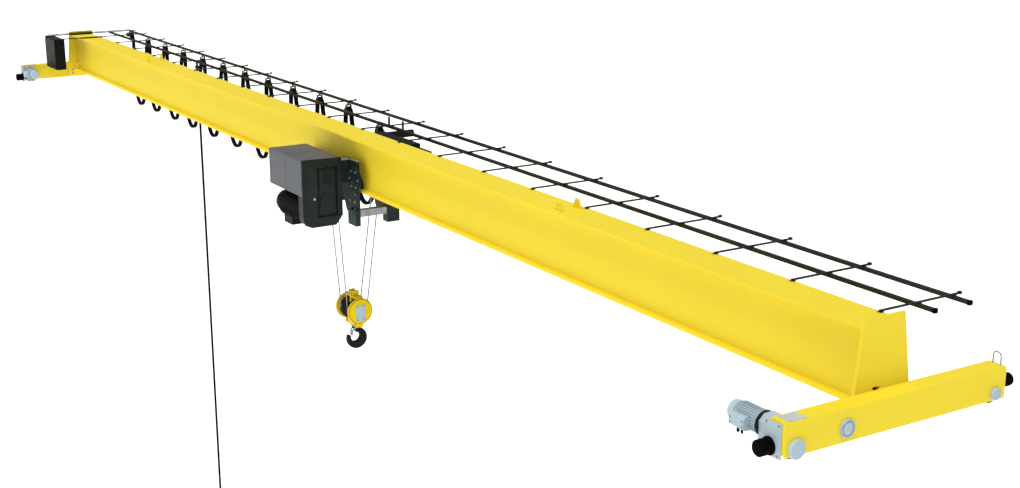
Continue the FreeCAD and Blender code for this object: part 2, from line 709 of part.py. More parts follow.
def loop_points(x0, z0, x1, z1, low, lean):
    """Corner points of one hanging loop, left leg down and right leg up."""
    mid, half = (x0 + x1) / 2, (x1 - x0) / 2
    left = [(mid - half * fx + lean * fl, z0 - (z0 - low) * fz) for fx, fz, fl in LOOP_POINTS]
    right = [(mid + half * fx + lean * fl, z1 - (z1 - low) * fz) for fx, fz, fl in LOOP_POINTS]
    return left + right[::-1]


saddle_drop = RIBBON_T + SADDLE_R
centres = [(x, z - saddle_drop) for x, z in zip(carrier_x, arch_z)]
loops = [loop_points(carrier_x[k], arch_z[k], carrier_x[k + 1], arch_z[k + 1], LOOP_Z, LOOP_LEAN[k])
         for k in range(CARRIERS)]
tail_x, tail_z = carrier_x[-1], TOW_TOP_Z
tail_points = [(tail_x + 100, tail_z - 276), (tail_x + 118, tail_z - 519),
               (tail_x + 227, tail_z - 656), (tail_x + 401, tail_z - 656),
               (tail_x + 510, tail_z - 519), (JUNCTION_X, JUNCTION_Z0 + 8)]

mid_r = SADDLE_R + RIBBON_T / 2
path_start = (centres[0][0] - CABLE_TAIL, centres[0][1] + mid_r)
arcs = []
for k in range(CARRIERS + 1):
    before = loops[k - 1][-1] if k else path_start
    after = loops[k] if k < CARRIERS else tail_points
    over = arch(centres[k], before, after[0])
    arcs.append(over)
    stop_at = over_circle(centres[k + 1], mid_r, after[-1], -1) if k < CARRIERS else None
    arcs += bends([over[4]] + after + ([stop_at] if stop_at else []))
cable = flat_cable(arcs, path_start, tail_points[-1], RIBBON_W, FESTOON_Y)
length = route_length(arcs, path_start, tail_points[-1])
print("flat cable: length %.0f  volume/section %.0f" %
      (length, cable.Volume / (RIBBON_W * (RIBBON_T - 2 * RIBBON_GAP))))
print("flat cable radii: " + " ".join("%.0f" % a[2] for a in arcs))

save("festoon_cable", [cable])


# ================= hoist trolley =================
WHEEL_XS = (HOOK_X - WHEELBASE / 2, HOOK_X + WHEELBASE / 2)


def trolley_wheel(x):
    y0 = T_WHEEL_Y0
    y1 = y0 + T_WHEEL_W
    tread = rod((x, -y0, T_WHEEL_Z), (x, -y1 - 7, T_WHEEL_Z), T_WHEEL_R)
    rim = rod((x, -y1 - 7, T_WHEEL_Z), (x, -y1 - 7 - T_FLANGE_W, T_WHEEL_Z), T_FLANGE_R)
    axle = rod((x, -y0, T_WHEEL_Z), (x, -FRAME_Y - FRAME_T - 4, T_WHEEL_Z), T_AXLE_R)
    return fuse([tread, rim, axle])


for tag, x in (("far", WHEEL_XS[0]), ("near", WHEEL_XS[1])):
    save("trolley_wheel_front_" + tag, [trolley_wheel(x)])
    save("trolley_wheel_rear_" + tag, [mirror_y(trolley_wheel(x))])


def side_plate(points):
    body = slab_xz(points, -FRAME_Y - FRAME_T, -FRAME_Y)
    for x in WHEEL_XS:
        body = body.cut(rod((x, -FRAME_Y + 1, T_WHEEL_Z), (x, -FRAME_Y - FRAME_T - 1, T_WHEEL_Z),
                            T_AXLE_R + PIN_GAP))
    return body


LEGS = [(FRAME_X1, FRAME_BOTTOM), (FRAME_X1 - FRAME_LEG_IN, FRAME_BOTTOM),
        (FRAME_X1 - FRAME_LEG_OUT, FRAME_MID), (FRAME_X0 + FRAME_LEG_OUT, FRAME_MID),
        (FRAME_X0 + FRAME_LEG_IN, FRAME_BOTTOM), (FRAME_X0, FRAME_BOTTOM)]
TALL_X = FRAME_X1 - FRAME_LEG_OUT
front = side_plate(LEGS + [(FRAME_X0, FRAME_STEP_TOP), (COVER_X0 + 80, FRAME_STEP_TOP),
                           (COVER_X0 + 120, FRAME_LOW_TOP), (TALL_X, FRAME_LOW_TOP),
                           (TALL_X + 30, FRAME_TALL_TOP), (FRAME_X1, FRAME_TALL_TOP)])
hangers = [box(COVER_X1 - 115, COVER_X1, COVER_Y1, -FRAME_Y - FRAME_T, 250, FRAME_TALL_TOP),
           box(COVER_X0 - 20, COVER_X0 + 35, COVER_Y1, -FRAME_Y - FRAME_T, 380, FRAME_STEP_TOP)]


def foot_block(x0, x1, deep):
    return box(x0, x1, -FRAME_Y - FRAME_T - deep, -FRAME_Y, FOOT_Z0, FRAME_BOTTOM + FOOT_RISE)


guard = rod((GUARD_X, -FRAME_Y - FRAME_T, GUARD_Z),
            (GUARD_X, -FRAME_Y - FRAME_T - GUARD_T, GUARD_Z), GUARD_R)
guard = guard.cut(rod((WHEEL_XS[1], -FRAME_Y, T_WHEEL_Z),
                      (WHEEL_XS[1], -FRAME_Y - FRAME_T - GUARD_T - 1, T_WHEEL_Z),
                      T_AXLE_R + POCKET_GAP))
front = fuse([front, guard] + hangers
             + [foot_block(FRAME_X1 - FOOT_L, FRAME_X1, FOOT_D),
                foot_block(FRAME_X0, FRAME_X0 + FOOT_L, FOOT_D)])
save("trolley_front_frame", [front])

rear = side_plate(LEGS + [(FRAME_X0, FRAME_LOW_TOP), (FRAME_X1, FRAME_LOW_TOP)])
rear = mirror_y(fuse([rear, foot_block(FRAME_X1 - FOOT_REAR_L, FRAME_X1, FOOT_REAR_D),
                      foot_block(FRAME_X0, FRAME_X0 + FOOT_REAR_L, FOOT_REAR_D)]))
shelf = box(REAR_BOX_X0, FRAME_X1 - SHELF_MARGIN, FRAME_Y, REAR_BOX_Y0 + REAR_BOX[1] - 30,
            FRAME_LOW_TOP - SHELF_T, FRAME_LOW_TOP)
EQ_IN = EQ_HALF_L - 15
eq_cheeks = [box(BLOCK_X + s * EQ_IN, BLOCK_X + s * EQ_HALF_L, FRAME_Y + FRAME_T, EQ_Y + 60,
                 EQ_Z - 90, FRAME_LOW_TOP) for s in (-1, 1)]
eq_plates = [box(BLOCK_X - EQ_HALF_L, BLOCK_X + EQ_HALF_L, y, y + 12, EQ_Z - 90, FRAME_LOW_TOP)
             for y in (EQ_Y - 40, EQ_Y + 28)]
eq_roll = rod((BLOCK_X, EQ_Y - 14, EQ_Z), (BLOCK_X, EQ_Y + 14, EQ_Z), EQ_R)
eq_pin = rod((BLOCK_X, EQ_Y - 30, EQ_Z), (BLOCK_X, EQ_Y + 30, EQ_Z), 18)
save("trolley_rear_frame", [fuse([rear, shelf] + eq_cheeks + eq_plates + [eq_roll, eq_pin])])


def cross_tube(x):
    s, t = TUBE_S / 2, TUBE_S / 2 - TUBE_WALL
    out = box(x - s, x + s, -FRAME_Y, FRAME_Y, TUBE_Z - s, TUBE_Z + s)
    return out.cut(box(x - t, x + t, -FRAME_Y - 1, FRAME_Y + 1, TUBE_Z - t, TUBE_Z + t))


save("trolley_cross_tubes", [cross_tube(FRAME_X1 - TUBE_END), cross_tube(FRAME_X0 + TUBE_END)])

cover = box(COVER_X0, COVER_X1, COVER_Y0, COVER_Y1, COVER_Z0, COVER_Z1)
cover = cover.cut(box(COVER_X0 + COVER_T, COVER_X1 + 1, COVER_Y0 + COVER_T, COVER_Y1 + 1,
                      COVER_Z0 + COVER_T, COVER_Z1 - COVER_T))
cover = cover.cut(box(COVER_X0 + COVER_T, COVER_X1 - GEARBOX_T, DRUM_Y - 60, COVER_Y1 + 1,
                      COVER_Z0 - 1, COVER_Z0 + COVER_T + 1))
save("hoist_cover", [cover])

# gear housing: a face plate a little larger than the body behind it
FACE_X1 = COVER_X1 + GEARBOX_FACE_T
GEAR_XA = COVER_X1 - GEARBOX_T
face = slab_yz(FACE_OUTLINE, COVER_X1, FACE_X1)
upper = box(GEAR_XA, COVER_X1, COVER_Y0 + COVER_T, COVER_Y1, COVER_Z0 + COVER_T,
            COVER_Z1 - COVER_T)
lower = slab_yz([(y * 0.98 - 8, z + 7) for y, z in FACE_OUTLINE[2:]]
                + [(FACE_OUTLINE[-1][0] * 0.98 - 8, COVER_Z0),
                   (FACE_OUTLINE[2][0] * 0.98 - 8, COVER_Z0)], GEAR_XA, COVER_X1)
y0, y1, z0, z1 = RECESS
recess = box(FACE_X1 - RECESS_D, FACE_X1 + 1, y0, y1, z0, z1)
housing = fuse([face, upper, lower]).cut(recess)
y0, y1, z0, z1 = FAN_PANEL
panel = box(FACE_X1 - RECESS_D - 1, FACE_X1 - 2, y0, y1, z0, z1)
knob = rod((FACE_X1 - RECESS_D - 1, KNOB_Y, KNOB_Z), (FACE_X1 - 1, KNOB_Y, KNOB_Z), KNOB_R)
save("gear_housing", [fuse([housing, panel, knob])])

motor = rod((MOTOR_X0 + MOTOR_COWL_L, MOTOR_Y, MOTOR_Z), (GEAR_XA, MOTOR_Y, MOTOR_Z), MOTOR_R)
cowl = rod((MOTOR_X0, MOTOR_Y, MOTOR_Z), (MOTOR_X0 + MOTOR_COWL_L, MOTOR_Y, MOTOR_Z),
           MOTOR_COWL_R)
lx, ly, lz = MOTOR_BOX
term = box(MOTOR_X0 + MOTOR_BOX_X, MOTOR_X0 + MOTOR_BOX_X + lx, MOTOR_Y - ly * 0.75,
           MOTOR_Y + ly * 0.25, MOTOR_Z - MOTOR_R - lz, MOTOR_Z - MOTOR_R + 40)
save("hoist_motor", [fuse([motor, cowl, term])])

drum = rod((COVER_X0 + 40, DRUM_Y, DRUM_Z), (GEAR_XA - 20, DRUM_Y, DRUM_Z), DRUM_R)
ends = [rod((x, DRUM_Y, DRUM_Z), (x + DRUM_FLANGE, DRUM_Y, DRUM_Z), DRUM_R + 8)
        for x in (COVER_X0 + 40, GEAR_XA - 20 - DRUM_FLANGE)]
shaft = rod((COVER_X0 + COVER_T, DRUM_Y, DRUM_Z), (GEAR_XA, DRUM_Y, DRUM_Z), DRUM_SHAFT_R)
save("rope_drum", [fuse([drum] + ends + [shaft])])

gx, gy = WHEEL_XS[1], FRAME_Y + FRAME_T
h = T_GEAR_S / 2
t_gear = box(gx - h, gx + h, gy, gy + T_GEAR_D, T_WHEEL_Z - h, T_WHEEL_Z + h - 10)
t_gear = t_gear.cut(rod((gx, gy - 1, T_WHEEL_Z), (gx, gy + 8, T_WHEEL_Z), T_AXLE_R + POCKET_GAP))
t_motor = rod((gx, gy + T_GEAR_D, T_WHEEL_Z), (gx, gy + T_GEAR_D + T_MOTOR_L, T_WHEEL_Z),
              T_MOTOR_R)
save("travel_motor", [fuse([t_gear, t_motor])])

bx, by, bz = REAR_BOX
REAR_X1, REAR_Y1, REAR_Z1 = REAR_BOX_X0 + bx, REAR_BOX_Y0 + by, REAR_BOX_Z0 + bz
main_box = box(REAR_BOX_X0, REAR_X1, REAR_BOX_Y0, REAR_Y1, REAR_BOX_Z0, REAR_Z1)
sx, sy, sz = SIDE_BOX
side_z = REAR_Z1 - SIDE_BOX_DOWN
side_box = box(REAR_X1, REAR_X1 + sx, REAR_Y1 - sy, REAR_Y1, side_z - sz, side_z)
save("rear_box", [fuse([main_box, side_box])])

TOW_X = carrier_x[CARRIERS]
tow_z = TOW_TOP_Z + HEAD_GAP + HEAD_T
tow_bar = box(TOW_X - HEAD_HALF_L, TOW_BAR_X1, FESTOON_Y - TOW_BAR_T / 2, FESTOON_Y + TOW_BAR_T / 2,
              tow_z, tow_z + TOW_BAR_S)
tow_out = box(TOW_BAR_X1 - TOW_BAR_S, TOW_BAR_X1, REAR_Y1, FESTOON_Y, tow_z,
              REAR_Z1)
tow_rise = box(TOW_BAR_X1 - TOW_BAR_S, TOW_BAR_X1, FESTOON_Y - TOW_BAR_T / 2,
               FESTOON_Y + TOW_BAR_T / 2, tow_z, tow_z + TOW_BAR_S + 10)
prongs = [box(x - TOW_BAR_S / 2, x + TOW_BAR_S / 2, FESTOON_Y - PRONG_T / 2,
              FESTOON_Y + PRONG_T / 2, tow_z + TOW_BAR_S, RAIL_Z0 - 12) for x in PRONG_XS]
jx, jy, jz = JUNCTION
junction = box(JUNCTION_X - jx / 2, JUNCTION_X + jx / 2, FESTOON_Y - jy / 2, FESTOON_Y + jy / 2,
               JUNCTION_Z0, JUNCTION_Z0 + jz)
junction = junction.cut(box(JUNCTION_X - RIBBON_T / 2 - 4, JUNCTION_X + RIBBON_T / 2 + 4, FESTOON_Y - RIBBON_W / 2 - 2,
                            FESTOON_Y + RIBBON_W / 2 + 2, JUNCTION_Z0 - 1, JUNCTION_Z0 + 14))
drop = box(JUNCTION_X - TOW_BAR_S / 2, JUNCTION_X + TOW_BAR_S / 2, FESTOON_Y - TOW_BAR_T / 2,
           FESTOON_Y + TOW_BAR_T / 2, JUNCTION_Z0 + jz, tow_z)
save("tow_arm", [fuse([tow_bar, tow_out, tow_rise, junction, drop] + prongs)])

# ================= ropes and hook block =================
SHEAVE_XS = (BLOCK_X - SHEAVE_PITCH / 2, BLOCK_X + SHEAVE_PITCH / 2)
falls = []
for x in SHEAVE_XS:
    falls.append(rod((x, DRUM_Y + DRUM_R + ROPE_R, DRUM_Z), (x, -GROOVE_R - ROPE_R, BLOCK_Z), ROPE_R))
    falls.append(rod((x, EQ_Y, EQ_Z), (x, GROOVE_R + ROPE_R, BLOCK_Z), ROPE_R))
save("hoist_ropes", falls)


def sheave(x):
    h = SHEAVE_W / 2
    parts = [rod((x - h, 0, BLOCK_Z), (x + h, 0, BLOCK_Z), GROOVE_R)]
    for s in (-1, 1):
        parts.append(cone((x + s * ROPE_R, 0, BLOCK_Z), (x + s * h, 0, BLOCK_Z),
                          GROOVE_R - 2, SHEAVE_R))
    return fuse(parts)


half_w = BLOCK_W / 2
inner = half_w - BLOCK_COVER_T
pin = rod((BLOCK_X - inner, 0, BLOCK_Z), (BLOCK_X + inner, 0, BLOCK_Z), SHEAVE_PIN_R)
save("block_sheaves", [fuse([sheave(x) for x in SHEAVE_XS] + [pin])])

cheeks = []
for s in (-1, 1):
    x0, x1 = BLOCK_X + s * inner, BLOCK_X + s * half_w
    disc = rod((x0, 0, BLOCK_Z), (x1, 0, BLOCK_Z), COVER_R)
    rim = [e for e in disc.Edges if abs(e.CenterOfMass.x - x1) < 0.1 and len(e.Vertexes) == 1]
    cheeks.append(disc.makeFillet(BLOCK_COVER_ROUND, rim[:1]))
save("block_covers", cheeks)

bore = rod((BLOCK_X - half_w, 0, BLOCK_Z), (BLOCK_X + half_w, 0, BLOCK_Z), SHEAVE_PIN_R)
well = rod((BLOCK_X, 0, CROSS_Z - 2 * CROSS_DOWN), (BLOCK_X, 0, CROSS_Z + 8), SHANK_R + PIN_GAP)
mid_plate = box(BLOCK_X - 15, BLOCK_X + 15, -BAR_HALF_W, BAR_HALF_W, CROSS_Z, BLOCK_Z + TAB_DZ)
guard_bar = box(BLOCK_X - inner, BLOCK_X + inner, -BAR_HALF_W, BAR_HALF_W,
                BLOCK_Z + GUARD_BAR_DZ - 15, BLOCK_Z + GUARD_BAR_DZ)
side_bars = [box(BLOCK_X + s * inner, BLOCK_X + s * (inner - BAR_T), -BAR_HALF_W, BAR_HALF_W,
                 CROSS_Z - CROSS_DOWN, BLOCK_Z + GUARD_BAR_DZ) for s in (-1, 1)]
cross = box(BLOCK_X - inner, BLOCK_X + inner, -CROSS_HALF_W, CROSS_HALF_W,
            CROSS_Z - CROSS_DOWN, CROSS_Z + CROSS_UP)
frame = fuse([mid_plate, guard_bar, cross] + side_bars)
save("block_frame", [frame.cut(bore).cut(well)])


def on_plane(points, half):
    """Solid across X between -half and +half; points are (Y, Z) from the bowl's centre."""
    wire = Part.makePolygon([V(BLOCK_X - half, y, HOOK_Z + z) for y, z in points + points[:1]])
    return Part.Face(wire).extrude(V(2 * half, 0, 0))


def hook():
    h = HOOK_T / 2
    outer = rod((BLOCK_X - h, HOOK_SHIFT, HOOK_Z - HOOK_SHIFT),
                (BLOCK_X + h, HOOK_SHIFT, HOOK_Z - HOOK_SHIFT), HOOK_R_OUT)
    bowl = outer.cut(rod((BLOCK_X - h - 1, 0, HOOK_Z), (BLOCK_X + h + 1, 0, HOOK_Z), HOOK_R_IN))
    far = 3 * HOOK_R_OUT
    tip = (far * math.cos(HOOK_TIP_A), far * math.sin(HOOK_TIP_A))
    back = (far * math.cos(HOOK_BACK_A), far * math.sin(HOOK_BACK_A))
    bowl = bowl.cut(on_plane([(0, 0), tip, (tip[0], far), back], h + 1))
    bowl = bowl.makeFillet(HOOK_ROUND, [e for e in bowl.Edges
                                        if abs(abs(e.CenterOfMass.x - BLOCK_X) - h) < 0.1
                                        and e.Length > HOOK_R_OUT])
    top = CROSS_Z - CROSS_DOWN - COLLAR_GAP - HOOK_Z
    c = COLLAR_R
    neck = on_plane([(8, 54), (HOOK_R_OUT - 32, 60), (HOOK_R_OUT - 48, 94), (c, top - 16),
                     (c, top), (-c, top), (-c, top - 16), (-12, top - 52)], h - 4)
    collar = rod((BLOCK_X, 0, HOOK_Z + top - 16), (BLOCK_X, 0, HOOK_Z + top), c)
    shank = rod((BLOCK_X, 0, HOOK_Z + top - 16), (BLOCK_X, 0, CROSS_Z + 6), SHANK_R)
    body = fuse([bowl, neck, collar, shank])
    y, z = LATCH_Y, HOOK_Z + LATCH_DZ
    return body.cut(rod((BLOCK_X - h - 1, y, z), (BLOCK_X + h + 1, y, z), LATCH_PIN_R + PIN_GAP))


save("hook", [hook()])


def latch():
    h = HOOK_T / 2 - 4 + LATCH_SIDE
    out = h + LATCH_T
    y, z = LATCH_Y, LATCH_DZ
    web = on_plane([(y - 34, z - 12), (y - 24, z - 22), (y - 37, z - 92), (y - 43.5, z - 80)], out)
    ears = []
    for s in (-1, 1):
        strip = on_plane([(y, z + 10), (y + 5, z - 10), (y - 24, z - 22), (y - 34, z - 12)], LATCH_T / 2)
        strip.translate(V(s * (h + LATCH_T / 2), 0, 0))
        ears += [strip, rod((BLOCK_X + s * h, y, HOOK_Z + z), (BLOCK_X + s * out, y, HOOK_Z + z),
                            LATCH_EYE_R)]
    pin = rod((BLOCK_X - out, y, HOOK_Z + z), (BLOCK_X + out, y, HOOK_Z + z), LATCH_PIN_R)
    return fuse([web, pin] + ears)


save("hook_latch", [latch()])

# ================= pendant control =================
px, py, pz = PENDANT_X, PENDANT_Y, PENDANT_TOP_Z
hanger = box(px - PENDANT_HALF_L, px + PENDANT_HALF_L, py - 3, py + 3, pz, ROLLER_Z + 5)
rollers = [rod((px + dx, py - 11, ROLLER_Z), (px + dx, py + 11, ROLLER_Z), ROLLER_R)
           for dx in (-PENDANT_ROLLER_DX, PENDANT_ROLLER_DX)]
block = box(px - PENDANT_HALF_L + 15, px + PENDANT_HALF_L - 15, py - 24, py + 24,
            pz - PENDANT_BLOCK_H, pz)
save("pendant_trolley", [fuse([hanger, block] + rollers)])
cable_top = pz - PENDANT_BLOCK_H
cord = rod((px, py, CONTROL_Z1), (px, py, cable_top), PENDANT_CABLE_R)
print("pendant cable: straight, length %.0f  volume/section %.0f" %
      (cable_top - CONTROL_Z1, cord.Volume / (math.pi * PENDANT_CABLE_R ** 2)))
save("pendant_cable", [cord])
cx, cy, cz = CONTROL
save("pendant_control", [box(px - cx / 2, px + cx / 2, py - cy / 2, py + cy / 2,
                             CONTROL_Z1 - cz, CONTROL_Z1)])
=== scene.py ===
import bpy
import bmesh
import json
import math
from mathutils import Vector, Matrix


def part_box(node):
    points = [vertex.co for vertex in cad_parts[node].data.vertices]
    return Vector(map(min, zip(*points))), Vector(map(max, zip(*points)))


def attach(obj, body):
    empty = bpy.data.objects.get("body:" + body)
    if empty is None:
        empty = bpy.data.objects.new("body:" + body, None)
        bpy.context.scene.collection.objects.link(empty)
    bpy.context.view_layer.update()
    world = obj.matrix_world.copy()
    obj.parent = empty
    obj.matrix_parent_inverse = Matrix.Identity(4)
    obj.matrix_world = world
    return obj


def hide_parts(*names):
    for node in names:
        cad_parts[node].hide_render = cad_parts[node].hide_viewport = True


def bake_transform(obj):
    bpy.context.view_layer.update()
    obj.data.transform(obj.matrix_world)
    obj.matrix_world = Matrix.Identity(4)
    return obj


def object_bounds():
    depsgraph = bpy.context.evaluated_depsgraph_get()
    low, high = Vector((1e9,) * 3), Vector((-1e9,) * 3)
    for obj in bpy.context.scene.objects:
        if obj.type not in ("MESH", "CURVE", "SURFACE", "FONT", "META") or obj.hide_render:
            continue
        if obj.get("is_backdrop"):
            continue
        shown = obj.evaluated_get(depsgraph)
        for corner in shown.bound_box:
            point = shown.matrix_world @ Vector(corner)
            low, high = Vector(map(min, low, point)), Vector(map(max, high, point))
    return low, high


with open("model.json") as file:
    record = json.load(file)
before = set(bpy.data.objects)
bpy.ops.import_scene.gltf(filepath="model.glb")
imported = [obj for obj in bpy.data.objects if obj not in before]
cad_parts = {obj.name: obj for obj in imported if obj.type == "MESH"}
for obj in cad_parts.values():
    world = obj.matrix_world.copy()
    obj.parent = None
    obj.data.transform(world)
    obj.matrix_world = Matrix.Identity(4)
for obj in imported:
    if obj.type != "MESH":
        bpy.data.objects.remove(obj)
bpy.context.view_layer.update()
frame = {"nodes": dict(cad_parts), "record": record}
NODES = frame["nodes"]
SLOT_OF = {s["node"]: s["material_slot"] for s in frame["record"]["subparts"]}


# ================= materials =================
def shader(name, base, rough, metal=0.0, vary=0.12, scale=3.0, bump=0.15, fine=60.0,
           wear=None, wear_at=0.62, spec=0.25):
    """Painted or bare surface: two scales of colour change, worn spots, fine bump."""
    m = bpy.data.materials.new(name)
    m.use_nodes = True
    nt = m.node_tree
    b = nt.nodes["Principled BSDF"]
    b.inputs["Metallic"].default_value = metal
    b.inputs["Specular IOR Level"].default_value = spec
    co = nt.nodes.new("ShaderNodeTexCoord")
    big = nt.nodes.new("ShaderNodeTexNoise")
    big.inputs["Scale"].default_value = scale
    big.inputs["Detail"].default_value = 6.0
    small = nt.nodes.new("ShaderNodeTexNoise")
    small.inputs["Scale"].default_value = fine
    small.inputs["Detail"].default_value = 3.0
    for n in (big, small):
        nt.links.new(co.outputs["Object"], n.inputs["Vector"])
    ramp = nt.nodes.new("ShaderNodeValToRGB")
    dark = [c * (1 - vary) for c in base]
    light = [min(1.0, c * (1 + vary * 0.6)) for c in base]
    ramp.color_ramp.elements[0].position = 0.3
    ramp.color_ramp.elements[1].position = 0.72
    ramp.color_ramp.elements[0].color = (*dark, 1)
    ramp.color_ramp.elements[1].color = (*light, 1)
    nt.links.new(big.outputs["Fac"], ramp.inputs["Fac"])
    color = ramp.outputs["Color"]
    if wear:
        spot = nt.nodes.new("ShaderNodeTexNoise")
        spot.inputs["Scale"].default_value = scale * 7
        spot.inputs["Detail"].default_value = 8.0
        spot.inputs["Roughness"].default_value = 0.7
        nt.links.new(co.outputs["Object"], spot.inputs["Vector"])
        cut = nt.nodes.new("ShaderNodeMapRange")
        cut.inputs["From Min"].default_value = wear_at
        cut.inputs["From Max"].default_value = wear_at + 0.06
        nt.links.new(spot.outputs["Fac"], cut.inputs["Value"])
        mix = nt.nodes.new("ShaderNodeMix")
        mix.data_type = "RGBA"
        mix.inputs[7].default_value = (*wear, 1)
        nt.links.new(cut.outputs["Result"], mix.inputs[0])
        nt.links.new(color, mix.inputs[6])
        color = mix.outputs[2]
    nt.links.new(color, b.inputs["Base Color"])
    rr = nt.nodes.new("ShaderNodeMapRange")
    rr.inputs["To Min"].default_value = max(0.05, rough - 0.08)
    rr.inputs["To Max"].default_value = min(1.0, rough + 0.1)
    nt.links.new(small.outputs["Fac"], rr.inputs["Value"])
    nt.links.new(rr.outputs["Result"], b.inputs["Roughness"])
    bp = nt.nodes.new("ShaderNodeBump")
    bp.inputs["Strength"].default_value = bump
    bp.inputs["Distance"].default_value = 0.002
    nt.links.new(small.outputs["Fac"], bp.inputs["Height"])
    nt.links.new(bp.outputs["Normal"], b.inputs["Normal"])
    return m


LOOKS = {
    "girder_yellow": shader("girder_yellow_look", (0.84, 0.66, 0.035), 0.5, 0, 0.03, 0.6, 0.06,
                            40, (0.78, 0.60, 0.03), 0.76, 0.08),
    "drive_grey": shader("drive_grey_look", (0.42, 0.52, 0.57), 0.42, 0, 0.12, 4, 0.2, 80,
                         (0.22, 0.25, 0.27), 0.70),
    "anthracite": shader("anthracite_look", (0.010, 0.020, 0.019), 0.45, 0, 0.25, 4, 0.25, 90,
                         (0.035, 0.045, 0.045), 0.70, 0.15),
    "cover_grey": shader("cover_grey_look", (0.078, 0.083, 0.094), 0.42, 0, 0.08, 2, 0.12, 70,
                         (0.060, 0.064, 0.072), 0.7, 0.25),
    "cabinet_black": shader("cabinet_black_look", (0.004, 0.0045, 0.005), 0.5, 0, 0.2, 4, 0.15, spec=0.1),
    "rail_steel": shader("rail_steel_look", (0.022, 0.022, 0.018), 0.55, 0.2, 0.25, 2, 0.2, 80,
                         (0.06, 0.04, 0.02), 0.68, 0.15),
    "galvanised": shader("galvanised_look", (0.30, 0.33, 0.35), 0.45, 0.6, 0.3, 14, 0.2, 90,
                         (0.20, 0.22, 0.23), 0.6),
    "black_rubber": shader("black_rubber_look", (0.001, 0.001, 0.0012), 0.8, 0, 0.3, 8, 0.4, 140,
                           spec=0.05),
    "cable_black": shader("cable_black_look", (0.001, 0.001, 0.0012), 0.75, 0, 0.3, 9, 0.3, 120,
                          spec=0.05),
    "label_silver": shader("label_silver_look", (0.50, 0.54, 0.56), 0.45, 0.0, 0.1, 6, 0.05, 60,
                           (0.32, 0.34, 0.35), 0.70, 0.2),
    "wheel_iron": shader("wheel_iron_look", (0.05, 0.05, 0.055), 0.45, 0.7, 0.3, 8, 0.3, 120,
                         (0.13, 0.07, 0.035), 0.66),
    "block_yellow": shader("block_yellow_look", (0.80, 0.58, 0.0), 0.45, 0, 0.08, 5, 0.15, 80,
                           (0.45, 0.30, 0.01), 0.70, 0.12),
    "hook_black": shader("hook_black_look", (0.006, 0.006, 0.0065), 0.45, 0.2, 0.3, 7, 0.35, 90,
                         (0.03, 0.028, 0.026), 0.68, 0.15),
    "rope_steel": shader("rope_steel_look", (0.28, 0.28, 0.29), 0.45, 0.8, 0.3, 40, 0.6, 400),
    "control_plastic": shader("control_plastic_look", (0.75, 0.42, 0.02), 0.5, 0, 0.1, 9, 0.1),
}
for node, o in NODES.items():
    look = LOOKS[SLOT_OF[node]]
    for ms in o.material_slots:
        ms.material = look
    for p in o.data.polygons:
        p.use_smooth = True

EDGE = {"girder_top_flange": 3, "girder_bottom_flange": 3, "end_plates": 3, "carriage_beams": 5,
        "cabinet_body": 3, "cabinet_door": 3, "hoist_cover": 5, "rear_box": 6,
        "trolley_front_frame": 3, "trolley_rear_frame": 3, "drive_gearboxes": 5,
        "drive_motors": 2, "gear_housing": 3, "hoist_motor": 3, "travel_motor": 3,
        "trolley_cross_tubes": 4, "block_frame": 2, "pendant_control": 10, "tow_arm": 2,
        "lifting_lugs": 2, "cable_arms": 1, "pendant_trolley": 2, "hook": 2}
for node, o in NODES.items():
    if node in EDGE:
        bv = o.modifiers.new("edges", "BEVEL")
        bv.width = EDGE[node] / 1000
        bv.segments = 2
        bv.limit_method = "ANGLE"
        bv.angle_limit = math.radians(40)
        bv.harden_normals = False
        bv.use_clamp_overlap = True
    wn = o.modifiers.new("normals", "WEIGHTED_NORMAL")
    wn.keep_sharp = True
    o.data.set_sharp_from_angle(angle=math.radians(38))


# ================= building blocks =================
def finish_piece(name, bm, slot, body, smooth=False, bevel=0.0):
    """Make an object of a mesh, with the look of its slot, riding on a body."""
    me = bpy.data.meshes.new(name)
    bm.to_mesh(me)
    bm.free()
    o = bpy.data.objects.new(name, me)
    bpy.context.scene.collection.objects.link(o)
    me.materials.append(LOOKS[slot])
    if smooth:
        for p in me.polygons:
            p.use_smooth = True
        me.set_sharp_from_angle(angle=math.radians(40))
    if bevel:
        bv = o.modifiers.new("edges", "BEVEL")
        bv.width = bevel
        bv.segments = 2
        bv.limit_method = "ANGLE"
    if body:
        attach(o, body)
    return o


def turned(axis):
    """The turn that takes Z to an axis."""
    return Vector(axis).to_track_quat("Z", "Y").to_matrix().to_4x4()


def put_box(bm, x0, x1, y0, y1, z0, z1):
    c = Vector(((x0 + x1) / 2, (y0 + y1) / 2, (z0 + z1) / 2))
    bmesh.ops.create_cube(bm, size=1, matrix=Matrix.Translation(c)
                          @ Matrix.Diagonal((abs(x1 - x0), abs(y1 - y0), abs(z1 - z0), 1)))


def put_rod(bm, p, q, r, n=24, r2=None):
    p, q = Vector(p), Vector(q)
    d = q - p
    bmesh.ops.create_cone(bm, cap_ends=True, segments=n, radius1=r, radius2=r if r2 is None else r2,
                          depth=d.length, matrix=Matrix.Translation((p + q) / 2) @ turned(d))


def put_panel(bm, x0, x1, y, z, w, h, r, n=6):
    """A plate across X with rounded corners."""
    ring = []
    for sy, sz, first in ((1, 1, 0), (-1, 1, 90), (-1, -1, 180), (1, -1, 270)):
        for k in range(n + 1):
            a = math.radians(first + 90 * k / n)
            ring.append((y + sy * (w / 2 - r) + r * math.cos(a), z + sz * (h / 2 - r) + r * math.sin(a)))
    back, front = [[bm.verts.new((x, a, b)) for a, b in ring] for x in (x0, x1)]
    bm.faces.new(back[::-1])
    bm.faces.new(front)
    for k in range(len(ring)):
        bm.faces.new((back[k - 1], back[k], front[k], front[k - 1]))


